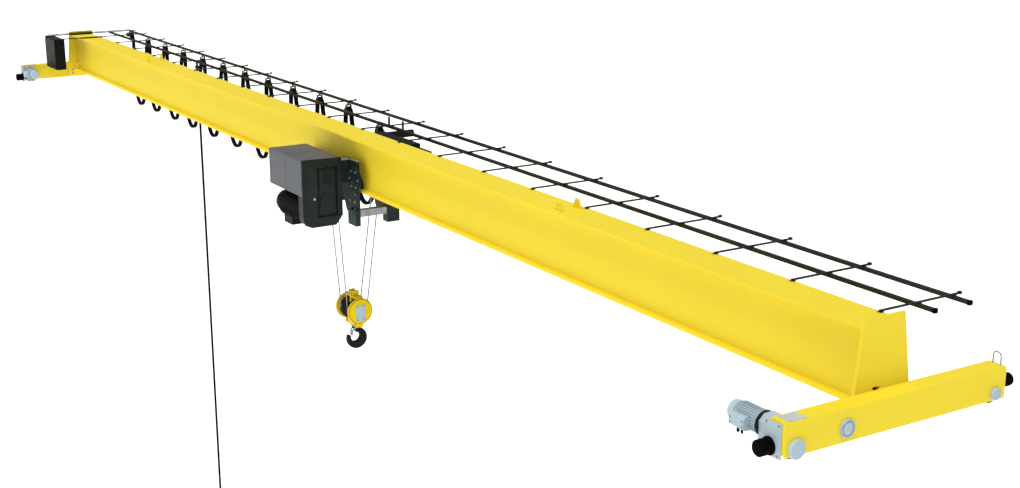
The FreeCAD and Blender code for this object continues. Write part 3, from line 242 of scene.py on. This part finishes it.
def put_bolt(bm, p, axis, r=0.008, h=0.006):
    """A washer, a hexagon head and a stud end, standing on a face at p."""
    p, a = Vector(p), Vector(axis).normalized()
    put_rod(bm, p - a * 0.001, p + a * 0.0015, r * 1.35, 16)
    put_rod(bm, p, p + a * h, r, 6)
    put_rod(bm, p + a * h, p + a * (h + r * 0.35), r * 0.5, 10)


def bolts(name, places, slot, body, r=0.008, h=0.006):
    bm = bmesh.new()
    for p, a in places:
        put_bolt(bm, p, a, r, h)
    return finish_piece(name, bm, slot, body)


def ring_places(c, axis, r, n, start=0.0):
    """Evenly spaced places on a circle about an axis, for bolts."""
    a = Vector(axis).normalized()
    u = a.orthogonal().normalized()
    v = a.cross(u)
    return [(Vector(c) + (u * math.cos(start + 2 * math.pi * k / n)
                          + v * math.sin(start + 2 * math.pi * k / n)) * r, axis)
            for k in range(n)]


def put_tube_ring(bm, c, axis, r, t, n=40, m=10):
    """A round-section ring about an axis."""
    a = Vector(axis).normalized()
    u = a.orthogonal().normalized()
    v = a.cross(u)
    rows = []
    for i in range(n):
        d = u * math.cos(2 * math.pi * i / n) + v * math.sin(2 * math.pi * i / n)
        rows.append([bm.verts.new(Vector(c) + d * (r + t * math.cos(2 * math.pi * j / m))
                                  + a * t * math.sin(2 * math.pi * j / m)) for j in range(m)])
    for i in range(n):
        for j in range(m):
            bm.faces.new((rows[i][j], rows[(i + 1) % n][j], rows[(i + 1) % n][(j + 1) % m],
                          rows[i][(j + 1) % m]))


def put_fins(bm, p, q, r, high, t, n, skip=()):
    """Straight cooling fins along a motor's barrel."""
    p, q = Vector(p), Vector(q)
    a = (q - p).normalized()
    for k in range(n):
        ang = 2 * math.pi * k / n
        if any(abs((ang - s + math.pi) % (2 * math.pi) - math.pi) < w for s, w in skip):
            continue
        u = Vector((0, 0, 1)) if abs(a.z) < 0.9 else Vector((1, 0, 0))
        v = a.cross(u).normalized()
        d = u * math.cos(ang) + v * math.sin(ang)
        w = a.cross(d)
        m = Matrix(((d.x, w.x, a.x, 0), (d.y, w.y, a.y, 0), (d.z, w.z, a.z, 0), (0, 0, 0, 1)))
        c = (p + q) / 2 + d * (r + high / 2 - 0.002)
        bmesh.ops.create_cube(bm, size=1, matrix=Matrix.Translation(c) @ m
                              @ Matrix.Diagonal((high + 0.004, t, (q - p).length, 1)))


SPAN_X = 9.575                 # wheel centres, and the carriages' two sides
IN_X, OUT_X = 9.495, 9.655
DRIVE_Y, IDLE_Y, WHEEL_Z = -0.923, 1.007, 0.078
PORT_Y, PORT_Z = -0.466, 0.126
MOTOR_Y, MOTOR_Z, MOTOR_LONG = -0.945, 0.168, 0.330
GEAR_WIDE = 0.120
PLATE_Y, REAR_Y = -1.036, 1.114   # faces that the buffers stand on
ARM_X, ARM_PITCH, ARMS = 9.292, 0.9085, 20
RAIL_YS = (0.540, 0.900)


# ================= girder details =================
bm = bmesh.new()
for y in (-0.085, 0.085):
    for z in (0.163, 0.723):
        put_rod(bm, (-9.468, y, z), (9.468, y, z), 0.005, 6)
finish_piece("girder_welds", bm, "girder_yellow", "crane")

# end plate bolts down to the carriage
for s in (-1, 1):
    tag = "near" if s > 0 else "far"
    places = [((s * (IN_X - 0.025), sy * y, 0.09 + 0.055 * k), (-s, 0, 0))
              for sy in (-1, 1) for y in (0.19,) for k in range(2)]
    bolts("end_plate_bolts_" + tag, places, "galvanised", "crane", 0.012, 0.010)
    places = ring_places((s * (OUT_X + 0.0255), DRIVE_Y, WHEEL_Z), (s, 0, 0), 0.045, 6)
    places += ring_places((s * (OUT_X + 0.0255), IDLE_Y, WHEEL_Z), (s, 0, 0), 0.028, 4)
    bolts("cap_bolts_" + tag, places, "drive_grey", "crane", 0.005, 0.003)
    bm = bmesh.new()
    put_tube_ring(bm, (s * (OUT_X + 0.0138), PORT_Y, PORT_Z), (1, 0, 0), 0.052, 0.004, 48, 8)
    finish_piece("port_ring_" + tag, bm, "galvanised", "crane", True)
    bm = bmesh.new()
    for y0, y1 in ((PLATE_Y - 0.105, PLATE_Y - 0.02), (REAR_Y + 0.02, REAR_Y + 0.105)):
        bx = s * (IN_X + 0.022) if y0 < 0 else s * (SPAN_X + 0.014)
        bz, br = (0.078, 0.0585) if y0 < 0 else (0.130, 0.0505)
        for k in range(5):
            y = y0 + (y1 - y0) * (k + 0.5) / 5
            put_tube_ring(bm, (bx, y, bz), (0, 1, 0), br - 0.001, 0.0025, 40, 6)
    finish_piece("buffer_ribs_" + tag, bm, "black_rubber", "crane", True)
    bm = bmesh.new()
    for y in (-0.955, -0.825):
        for dx in (0.024, 0.129):
            put_rod(bm, (s * (IN_X + dx), y, 0.2685), (s * (IN_X + dx), y, 0.2705), 0.004, 10)
    finish_piece("label_rivets_" + tag, bm, "galvanised", "crane")

    # travel drive
    x1 = IN_X - GEAR_WIDE
    x0 = x1 - MOTOR_LONG
    y, z = MOTOR_Y, MOTOR_Z
    bm = bmesh.new()
    put_fins(bm, (s * (x0 + 0.092), y, z), (s * (x1 - 0.026), y, z), 0.078, 0.010, 0.0028, 30,
             ((math.radians(-90) * s, 0.62),))
    for k in range(3):
        put_tube_ring(bm, (s * (x0 + 0.004), y, z), (1, 0, 0), 0.014 + 0.014 * k, 0.0018, 32, 6)
    finish_piece("drive_fins_" + tag, bm, "drive_grey", "crane")
    bm = bmesh.new()
    put_rod(bm, (s * (x1 + 0.004), y, z), (s * (x1 - 0.010), y, z), 0.0935, 40)
    put_tube_ring(bm, (s * (x0 + 0.082), y, z), (1, 0, 0), 0.0775, 0.0024, 48, 6)
    finish_piece("drive_dark_ring_" + tag, bm, "anthracite", "crane", True)
    places = ring_places((s * (x1 - 0.019), y, z), (-s, 0, 0), 0.086, 4, 0.785)
    places += [((s * (x0 + 0.115 + dx), -1.076, z - 0.014 + dz), (0, -1, 0))
               for dx in (0.0, 0.12) for dz in (-0.02, 0.02)]
    bolts("drive_bolts_" + tag, places, "galvanised", "crane", 0.005, 0.004)
    places = [((s * x1, -0.86, 0.05 + 0.05 * k), (-s, 0, 0)) for k in range(4)]
    places += [((s * x1, y1, 0.038), (-s, 0, 0)) for y1 in (-0.98, -0.92)]
    bolts("gearbox_bolts_" + tag, places, "galvanised", "crane", 0.007, 0.006)
    places = [((s * (IN_X + dx), PLATE_Y, dz), (0, -1, 0)) for dx in (-0.014, 0.108)
              for dz in (0.028, 0.242)]
    bolts("drive_plate_bolts_" + tag, places, "galvanised", "crane", 0.007, 0.005)
    bm = bmesh.new()
    put_rod(bm, (s * (x0 + 0.175), -1.05, z - 0.064), (s * (x0 + 0.175), -1.05, z - 0.09), 0.011, 16)
    put_rod(bm, (s * (x0 + 0.215), -1.05, z - 0.064), (s * (x0 + 0.215), -1.05, z - 0.09), 0.009, 16)
    finish_piece("drive_glands_" + tag, bm, "black_rubber", "crane", True)

# ================= cable rails and arms =================
bm = bmesh.new()
for k in range(ARMS):
    x = ARM_X - ARM_PITCH * k
    for y in RAIL_YS:
        put_box(bm, x - 0.019, x + 0.019, y - 0.021, y + 0.021, 0.744, 0.7505)
        put_box(bm, x - 0.014, x + 0.014, y - 0.020, y - 0.0155, 0.722, 0.750)
        put_box(bm, x - 0.014, x + 0.014, y + 0.0155, y + 0.020, 0.722, 0.750)
    put_box(bm, x - 0.012, x + 0.012, 0.955, 0.984, 0.7485, 0.7695)
finish_piece("rail_clips", bm, "rail_steel", "crane")
bm = bmesh.new()
for k in range(ARMS):
    x = ARM_X - ARM_PITCH * k
    for dx in (-0.011, 0.011):
        put_bolt(bm, (x + dx, 0.140, 0.749), (0, 0, 1), 0.0035, 0.004)
finish_piece("arm_bolts", bm, "galvanised", "crane")
bm = bmesh.new()
for y in RAIL_YS:
    put_box(bm, 9.440, 9.466, y - 0.019, y + 0.019, 0.716, 0.752)
    put_box(bm, -9.566, -9.548, y - 0.019, y + 0.019, 0.716, 0.752)
finish_piece("rail_end_plugs", bm, "black_rubber", "crane", bevel=0.003)

# painted shade: a black strip along the far bar, with a short drop at its end, laid against the far end
# plate's face above the flange to stand for the shade on that face
bm = bmesh.new()
put_box(bm, -9.462, -9.434, -0.60, 0.855, 0.769, 0.777)
put_box(bm, -9.462, -9.434, 0.848, 0.856, 0.69, 0.777)
finish_piece("far_plate_painted_shade_strip", bm, "cable_black", "crane", bevel=0.002)

# ================= cabinet =================
bm = bmesh.new()
lo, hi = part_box("cabinet_door")
put_box(bm, hi[0] - 0.075, hi[0] - 0.045, lo[1], lo[1] + 0.004,
        (lo[2] + hi[2]) / 2 - 0.05, (lo[2] + hi[2]) / 2 + 0.05)
for z in (lo[2] + 0.07, hi[2] - 0.07):
    put_rod(bm, (lo[0] + 0.010, lo[1] + 0.003, z - 0.025), (lo[0] + 0.010, lo[1] + 0.003, z + 0.025),
            0.005, 12)
finish_piece("cabinet_fittings", bm, "galvanised", "crane", bevel=0.002)
bm = bmesh.new()
for k in range(5):
    put_rod(bm, (lo[0] + 0.09 + 0.1 * k, lo[1] + 0.09, lo[2] + 0.01),
            (lo[0] + 0.09 + 0.1 * k, lo[1] + 0.09, lo[2] - 0.022), 0.013, 16)
finish_piece("cabinet_glands", bm, "black_rubber", "crane", True)

# ================= flat cable =================
CARRIERS, X0, PITCH, TOP, TOW = 11, -9.480, 0.871, 0.673, 0.546
LOW, WIDE, THICK, SADDLE = -0.520, 0.054, 0.034, 0.058
R = SADDLE + THICK / 2
POINTS = ((0.700, 0.321, 0.4), (0.629, 0.678, 0.8), (0.450, 0.885, 1.0), (0.200, 1.0, 1.0))
LEAN = (-0.150, -0.200, -0.165, -0.180, -0.120, -0.025, 0.095, 0.060, 0.030, 0.0, 0.0)
CABLE_Y = RAIL_YS[1]
xs = [X0 + k * PITCH for k in range(CARRIERS + 1)]
tops = [TOP] * CARRIERS + [TOW]


def arch_half(k, side):
    """Control points from the top of an arch down one side of its saddle."""
    cz = tops[k] - THICK - SADDLE
    corner = R / math.cos(math.radians(22.5))
    out = [(xs[k], cz + R)]
    for degrees in (67.5, 22.5):
        turn = math.radians(degrees)
        out.append((xs[k] + side * corner * math.cos(turn), cz + corner * math.sin(turn)))
    out.append((xs[k] + side * (R + 0.0015), cz - 0.012))
    return out


def route(k):
    """Control points of one hanging loop, from one saddle's top to the next."""
    mid, half = (xs[k] + xs[k + 1]) / 2, PITCH / 2
    left = [(mid - half * fx + LEAN[k] * fl, tops[k] - (tops[k] - LOW) * fz) for fx, fz, fl in POINTS]
    right = [(mid + half * fx + LEAN[k] * fl, tops[k + 1] - (tops[k + 1] - LOW) * fz)
             for fx, fz, fl in POINTS]
    return arch_half(k, 1) + left + right[::-1] + arch_half(k + 1, -1)[::-1]


def line_points(name, pts):
    """The line that a NURBS spline through these control points follows."""
    cu = bpy.data.curves.new(name, "CURVE")
    cu.dimensions = "3D"
    sp = cu.splines.new("NURBS")
    sp.points.add(len(pts) - 1)
    for p, q in zip(sp.points, pts):
        p.co = (*q, 1)
    sp.order_u = 3
    sp.use_endpoint_u = True
    cu.resolution_u = 12
    o = bpy.data.objects.new(name, cu)
    bpy.context.scene.collection.objects.link(o)
    bpy.context.view_layer.update()
    me = bpy.data.meshes.new_from_object(o.evaluated_get(bpy.context.evaluated_depsgraph_get()))
    out = [v.co.copy() for v in me.vertices]
    bpy.data.objects.remove(o)
    bpy.data.meshes.remove(me)
    clean = [out[0]]
    for v in out[1:]:
        if (v - clean[-1]).length > 1e-4:
            clean.append(v)
    return clean


def profile():
    """Section of four flat cables, one on the other: (across, thickness)."""
    layers, half, nose = 4, WIDE / 2, 0.003
    each = (THICK - 0.0008) / layers
    side = []
    for k in range(layers):
        t = each * (layers / 2 - k)
        side += [(half - nose, t - 0.0002), (half - nose * 0.2, t - each * 0.25),
                 (half - nose * 0.2, t - each * 0.75), (half - nose, t - each + 0.0002)]
    return side + [(-a, t) for a, t in reversed(side)]


def strip(name, pts, slot):
    sec = profile()
    bm = bmesh.new()
    rows = []
    for i, p in enumerate(pts):
        d = (pts[min(i + 1, len(pts) - 1)] - pts[max(i - 1, 0)]).normalized()
        n = Vector((-d.z, 0, d.x))
        rows.append([bm.verts.new(p + Vector((0, a, 0)) + n * t) for a, t in sec])
    m = len(sec)
    for r0, r1 in zip(rows, rows[1:]):
        for j in range(m):
            bm.faces.new((r0[j], r0[(j + 1) % m], r1[(j + 1) % m], r1[j]))
    bm.faces.new(rows[0][::-1])
    bm.faces.new(rows[-1])
    bmesh.ops.recalc_face_normals(bm, faces=bm.faces)
    return finish_piece(name, bm, slot, None, True)


ribbons = []
for k in range(CARRIERS):
    pts = line_points("line", [(x, CABLE_Y, z) for x, z in route(k)])
    if k == 0:
        pts = [Vector((X0 - 0.058, CABLE_Y, pts[0].z))] + pts
    o = strip("flat_cable_%02d" % (k + 1), pts, "cable_black")
    ribbons.append(o)
    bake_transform(o)
tx = xs[-1]
tail = arch_half(CARRIERS, 1) + [(tx + 0.100, TOW - 0.276), (tx + 0.118, TOW - 0.519),
                                 (tx + 0.227, TOW - 0.656), (tx + 0.401, TOW - 0.656),
                                 (tx + 0.510, TOW - 0.519), (0.625, 0.193)]
pts = line_points("line", [(x, CABLE_Y, z) for x, z in tail])
o = strip("flat_cable_12", pts, "cable_black")
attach(o, "trolley")
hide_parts("festoon_cable")

for k in range(1, CARRIERS + 1):
    bm = bmesh.new()
    z = tops[k] + 0.024
    for dx in (-0.014, 0.014):
        put_bolt(bm, (xs[k] + dx, CABLE_Y - 0.036, z - 0.018), (0, -1, 0), 0.004, 0.003)
        put_bolt(bm, (xs[k] + dx, CABLE_Y + 0.036, z - 0.018), (0, 1, 0), 0.004, 0.003)
    finish_piece("carrier_bolts_%02d" % k, bm, "galvanised", "festoon_carrier_%02d_body" % k)

# ================= hoist trolley =================
bm = bmesh.new()
put_box(bm, 1.405, 1.520, -0.330, -0.170, 0.4985, 0.508)
put_box(bm, 1.405, 1.690, -0.200, -0.168, 0.4985, 0.508)
finish_piece("hanger_top_plate", bm, "galvanised", "trolley", bevel=0.002)
places = [((1.47 + 0.17 * i, -0.200, 0.40 - 0.14 * j), (0, -1, 0)) for i in (1,) for j in range(3)]
places += [((x, -0.200, z), (0, -1, 0)) for x in (0.40, 0.52, 1.50, 1.62) for z in (-0.06, 0.03)]
bolts("frame_bolts", places, "galvanised", "trolley", 0.012, 0.010)
places = [((x, 0.200, z), (0, 1, 0)) for x in (0.40, 0.52, 1.50, 1.62) for z in (-0.06, 0.03, 0.24)]
bolts("rear_frame_bolts", places, "galvanised", "trolley", 0.012, 0.010)
bm = bmesh.new()
for x in (0.448, 1.568):
    put_rod(bm, (x, -0.204, 0.225), (x, -0.216, 0.225), 0.030, 24)
    put_tube_ring(bm, (x, -0.203, 0.225), (0, 1, 0), 0.036, 0.005, 36, 8)
    put_tube_ring(bm, (x, 0.203, 0.225), (0, 1, 0), 0.036, 0.005, 36, 8)
finish_piece("axle_ends", bm, "galvanised", "trolley", True)
bm = bmesh.new()
put_tube_ring(bm, (1.650, -0.226, 0.300), (0, 1, 0), 0.128, 0.006, 48, 8)
put_rod(bm, (1.650, -0.226, 0.300), (1.650, -0.234, 0.300), 0.060, 32)
finish_piece("guard_ribs", bm, "anthracite", "trolley", True)
places = ring_places((1.650, -0.226, 0.300), (0, -1, 0), 0.100, 6, 0.3)
bolts("guard_bolts", places, "galvanised", "trolley", 0.010, 0.008)

# grey cover: folded seams, side vents and screws
bm = bmesh.new()
for x in (0.640, 1.070, 1.498):
    put_box(bm, x - 0.010, x + 0.010, -0.8015, -0.799, 0.150, 0.535)
put_box(bm, 0.625, 1.515, -0.8018, -0.799, 0.150, 0.160)
put_box(bm, 0.625, 1.515, -0.8018, -0.799, 0.525, 0.535)
put_box(bm, 1.062, 1.078, -0.795, -0.335, 0.547, 0.5495)
finish_piece("cover_seams", bm, "cover_grey", "trolley", bevel=0.001)
bm = bmesh.new()
for k in range(9):
    z = 0.235 + 0.022 * k
    put_box(bm, 0.6185, 0.621, -0.70, -0.45, z, z + 0.008)
finish_piece("cover_vents", bm, "anthracite", "trolley")
places = [((x, -0.8015, z), (0, -1, 0)) for x in (0.64, 1.07, 1.498) for z in (0.19, 0.343, 0.50)]
places += [((x, y, 0.548), (0, 0, 1)) for x in (0.65, 1.35) for y in (-0.77, -0.37)]
bolts("cover_screws", places, "galvanised", "trolley", 0.005, 0.003)

# gear housing: ribs down the left and across the top, rim bolts, fan grille
FX = 1.535
bm = bmesh.new()
for k in range(14):
    z = -0.10 + 0.044 * k
    put_box(bm, 1.522, FX + 0.006, -0.800, -0.752, z, z + 0.014)
for k in range(9):
    y = -0.735 + 0.045 * k
    put_box(bm, 1.522, FX + 0.006, y, y + 0.016, 0.476, 0.540)
finish_piece("housing_ribs", bm, "anthracite", "trolley", bevel=0.002)
bm = bmesh.new()
for y0, y1, z0, z1 in ((-0.620, -0.607, -0.118, 0.448), (-0.390, -0.377, -0.118, 0.448),
                       (-0.620, -0.377, -0.118, -0.106), (-0.620, -0.377, 0.436, 0.448)):
    put_box(bm, 1.530, FX + 0.005, y0, y1, z0, z1)
for k in range(7):
    z = 0.262 + 0.020 * k
    put_box(bm, FX, FX + 0.0055, -0.565, -0.440, z, z + 0.008)
for k in range(2):
    put_tube_ring(bm, (FX + 0.004, -0.500, 0.060), (1, 0, 0), 0.030 + 0.026 * k, 0.003, 40, 6)
finish_piece("housing_grille", bm, "cabinet_black", "trolley", bevel=0.001)
bm = bmesh.new()
put_panel(bm, FX - 0.002, FX + 0.004, -0.500, 0.325, 0.185, 0.175, 0.022)
put_rod(bm, (FX - 0.002, -0.500, 0.060), (FX + 0.004, -0.500, 0.060), 0.080, 48)
finish_piece("housing_panels", bm, "anthracite", "trolley", True, 0.0015)
rim = [(-0.735, 0.515), (-0.735, 0.350), (-0.735, 0.180), (-0.735, 0.010), (-0.735, -0.150),
       (-0.600, -0.205), (-0.470, -0.205), (-0.345, -0.120), (-0.345, 0.050), (-0.345, 0.220),
       (-0.345, 0.390), (-0.500, 0.462), (-0.640, 0.462)]
bolts("housing_bolts", [((FX, y, z), (1, 0, 0)) for y, z in rim], "anthracite", "trolley",
      0.009, 0.007)
bolts("housing_filler", [((FX, -0.660, 0.100), (1, 0, 0))], "label_silver", "trolley", 0.010, 0.010)

# hoist motor
bm = bmesh.new()
put_fins(bm, (0.800, -0.640, -0.075), (1.385, -0.640, -0.075), 0.140, 0.016, 0.004, 36,
         ((math.pi, 0.5),))
for k in range(5):
    put_tube_ring(bm, (0.702, -0.640, -0.075), (1, 0, 0), 0.02 + 0.022 * k, 0.0025, 40, 6)
put_tube_ring(bm, (0.790, -0.640, -0.075), (1, 0, 0), 0.134, 0.005, 56, 8)
finish_piece("hoist_motor_fins", bm, "cabinet_black", "trolley")
places = [((0.875 + dx, -0.735 + dy, -0.285), (0, 0, -1)) for dx in (0, 0.17) for dy in (0.01, 0.10)]
bolts("motor_box_bolts", places, "galvanised", "trolley", 0.006, 0.004)

# rope turns on the drum
bm = bmesh.new()
for k in range(34):
    put_tube_ring(bm, (0.705 + 0.0185 * k, -0.420, 0.320), (1, 0, 0), 0.162, 0.007, 40, 6)
finish_piece("drum_turns", bm, "rope_steel", "trolley", True)

# travel motor and rear box
bm = bmesh.new()
put_fins(bm, (1.568, 0.300, 0.225), (1.568, 0.480, 0.225), 0.054, 0.006, 0.0028, 24)
put_tube_ring(bm, (1.568, 0.495, 0.225), (0, 1, 0), 0.0545, 0.003, 40, 6)
finish_piece("travel_motor_fins", bm, "anthracite", "trolley")
bm = bmesh.new()
rx0, rx1, rz1 = 0.900, 1.780, 0.650
for k in range(12):
    x = rx0 + 0.10 + 0.065 * k
    put_box(bm, x, x + 0.03, 0.5585, 0.5615, 0.36, 0.50)
put_box(bm, rx0 + 0.02, rx1 - 0.02, 0.338, 0.342, rz1 - 0.0015, rz1 + 0.0015)
put_box(bm, rx0 + 0.02, rx1 - 0.02, 0.548, 0.552, rz1 - 0.0015, rz1 + 0.0015)
finish_piece("rear_box_vents", bm, "cabinet_black", "trolley")
places = [((x, y, rz1), (0, 0, 1)) for x in (rx0 + 0.03, 1.34, rx1 - 0.03) for y in (0.352, 0.538)]
bolts("rear_box_bolts", places, "galvanised", "trolley", 0.006, 0.004)
bm = bmesh.new()
for dy in (-0.02, 0.02):
    put_rod(bm, (1.90, 0.47 + dy, 0.462), (1.90, 0.47 + dy, 0.440), 0.012, 16)
put_box(bm, 0.595, 0.655, 0.865, 0.935, 0.172, 0.187)
finish_piece("trolley_glands", bm, "black_rubber", "trolley", True)

# ================= falls of rope =================
BX, BZ, CROSS, HZ = 1.097, -1.398, -1.561, -1.751   # block: middle, sheaves, cross head, hook
SHEAVE_X = 0.090
for i, (x, side) in enumerate([(x, s) for x in (BX - SHEAVE_X, BX + SHEAVE_X) for s in (-1, 1)]):
    top = (x, -0.253, 0.320) if side < 0 else (x, 0.330, 0.080)
    end = (x, side * 0.125, BZ)
    bm = bmesh.new()
    put_rod(bm, end, top, 0.007, 16)
    o = finish_piece("rope_fall_%d" % (i + 1), bm, "rope_steel", None, True)
    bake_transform(o)
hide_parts("hoist_ropes")

# ================= hook block =================
for s, tag in ((1, "near"), (-1, "far")):
    bm = bmesh.new()
    x = BX + s * 0.175
    put_panel(bm, x - 0.004, x + 0.004, 0, BZ - 0.020, 0.130, 0.200, 0.030)
    finish_piece("cover_plate_" + tag, bm, "drive_grey", "hook_block", True, 0.0015)
    bm = bmesh.new()
    put_tube_ring(bm, (x - s * 0.001, 0, BZ), (1, 0, 0), 0.148, 0.003, 64, 8)
    finish_piece("cover_rim_" + tag, bm, "anthracite", "hook_block", True)
    bolts("cover_bolts_" + tag, [((x + s * 0.004, y, BZ - 0.020 + z), (s, 0, 0)) for y in (-0.045, 0.045)
                                 for z in (-0.080, 0.080)], "galvanised", "hook_block", 0.007, 0.004)
bm = bmesh.new()
put_box(bm, BX - 0.150, BX + 0.150, -0.048, 0.048, BZ + 0.162, BZ + 0.172)
put_box(bm, BX - 0.060, BX - 0.040, -0.040, 0.040, BZ + 0.165, BZ + 0.225)
put_box(bm, BX + 0.040, BX + 0.060, -0.040, 0.040, BZ + 0.165, BZ + 0.225)
finish_piece("block_tabs", bm, "block_yellow", "hook_block", bevel=0.003)
places = [((BX + dx, s * 0.042, CROSS - 0.010), (0, s, 0)) for dx in (-0.11, 0.11) for s in (-1, 1)]
bolts("crosshead_bolts", places, "galvanised", "hook_block", 0.010, 0.008)
bm = bmesh.new()
put_tube_ring(bm, (BX, 0, CROSS - 0.041), (0, 0, 1), 0.036, 0.003, 40, 8)
finish_piece("thrust_washer", bm, "galvanised", "hook_block", True)
bm = bmesh.new()
for k in range(6):
    put_tube_ring(bm, (BX - 0.018 + 0.0072 * k, -0.006, HZ + 0.108), (1, 0, 0), 0.0085, 0.0009, 24, 6)
finish_piece("latch_spring", bm, "galvanised", "latch_body", True)

# ================= pendant control =================
PX, PY = -5.275, RAIL_YS[0]
CABLE_TOP, CABLE_LONG, CABLE_D = 0.628, 7.004, 0.034
cu = bpy.data.curves.new("pendant_line", "CURVE")
cu.dimensions = "3D"
sp = cu.splines.new("NURBS")
line = [(PX, PY, CABLE_TOP - CABLE_LONG * k / 4) for k in range(5)]
sp.points.add(len(line) - 1)
for p, q in zip(sp.points, line):
    p.co = (*q, 1)
sp.order_u = 3
sp.use_endpoint_u = True
cu.bevel_depth = CABLE_D / 2
cu.bevel_resolution = 5
cu.use_fill_caps = True
cu.materials.append(LOOKS["cable_black"])
pend = bpy.data.objects.new("pendant_line", cu)
bpy.context.scene.collection.objects.link(pend)
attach(pend, "pendant")
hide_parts("pendant_cable")
CZ = CABLE_TOP - CABLE_LONG
bm = bmesh.new()
for k in range(7):
    put_rod(bm, (PX, PY - 0.034, CZ - 0.07 - 0.05 * k), (PX, PY - 0.0355, CZ - 0.07 - 0.05 * k),
            0.017, 24)
finish_piece("button_seats", bm, "control_plastic", "pendant", True)
bm = bmesh.new()
put_rod(bm, (PX, PY, CZ + 0.075), (PX, PY, CZ - 0.002), 0.0185, 24, 0.027)
for k in range(5):
    put_tube_ring(bm, (PX, PY, CZ + 0.06 - 0.012 * k), (0, 0, 1), 0.0205 + 0.0014 * k, 0.002, 28, 6)
finish_piece("control_boot", bm, "black_rubber", "pendant", True)

# ================= floor, light, camera =================
bm = bmesh.new()
bmesh.ops.create_grid(bm, x_segments=1, y_segments=1, size=260)
floor_me = bpy.data.meshes.new("floor")
bm.to_mesh(floor_me)
bm.free()
floor = bpy.data.objects.new("floor", floor_me)
floor.location = (0, 0, -7.4)
bpy.context.scene.collection.objects.link(floor)
fm = bpy.data.materials.new("floor_white")
fm.use_nodes = True
fb = fm.node_tree.nodes["Principled BSDF"]
fb.inputs["Base Color"].default_value = (0.92, 0.92, 0.92, 1)
fb.inputs["Roughness"].default_value = 0.9
fb.inputs["Emission Color"].default_value = (1, 1, 1, 1)
fb.inputs["Emission Strength"].default_value = 0.45
floor_me.materials.append(fm)
floor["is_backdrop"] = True

world = bpy.data.worlds.new("studio")
bpy.context.scene.world = world
bpy.context.scene.view_settings.view_transform = "Standard"
world.use_nodes = True
world.node_tree.nodes["Background"].inputs[0].default_value = (1, 1, 1, 1)
world.node_tree.nodes["Background"].inputs[1].default_value = 0.42

for name, d, e, soft in (("key", (-0.12, 0.22, -0.96), 2.2, 25), ("fill", (-0.3, 0.9, -0.2), 0.45, 50)):
    sun = bpy.data.objects.new(name, bpy.data.lights.new(name, "SUN"))
    sun.data.energy = e
    sun.data.angle = math.radians(soft)
    sun.rotation_euler = Vector(d).to_track_quat("-Z", "Y").to_euler()
    bpy.context.scene.collection.objects.link(sun)

cam = bpy.data.objects.new("camera", bpy.data.cameras.new("camera"))
bpy.context.scene.collection.objects.link(cam)
bpy.context.scene.camera = cam
yaw, pitch = math.radians(148.019), math.radians(-15.112)
look = Vector((math.cos(pitch) * math.cos(yaw), math.cos(pitch) * math.sin(yaw), math.sin(pitch)))
cam.location = (16.3896, -7.3579, 3.9445)
cam.rotation_euler = look.to_track_quat("-Z", "Y").to_euler()
cam.data.lens = 52.35
cam.data.clip_start, cam.data.clip_end = 0.1, 400.0

lo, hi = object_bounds()
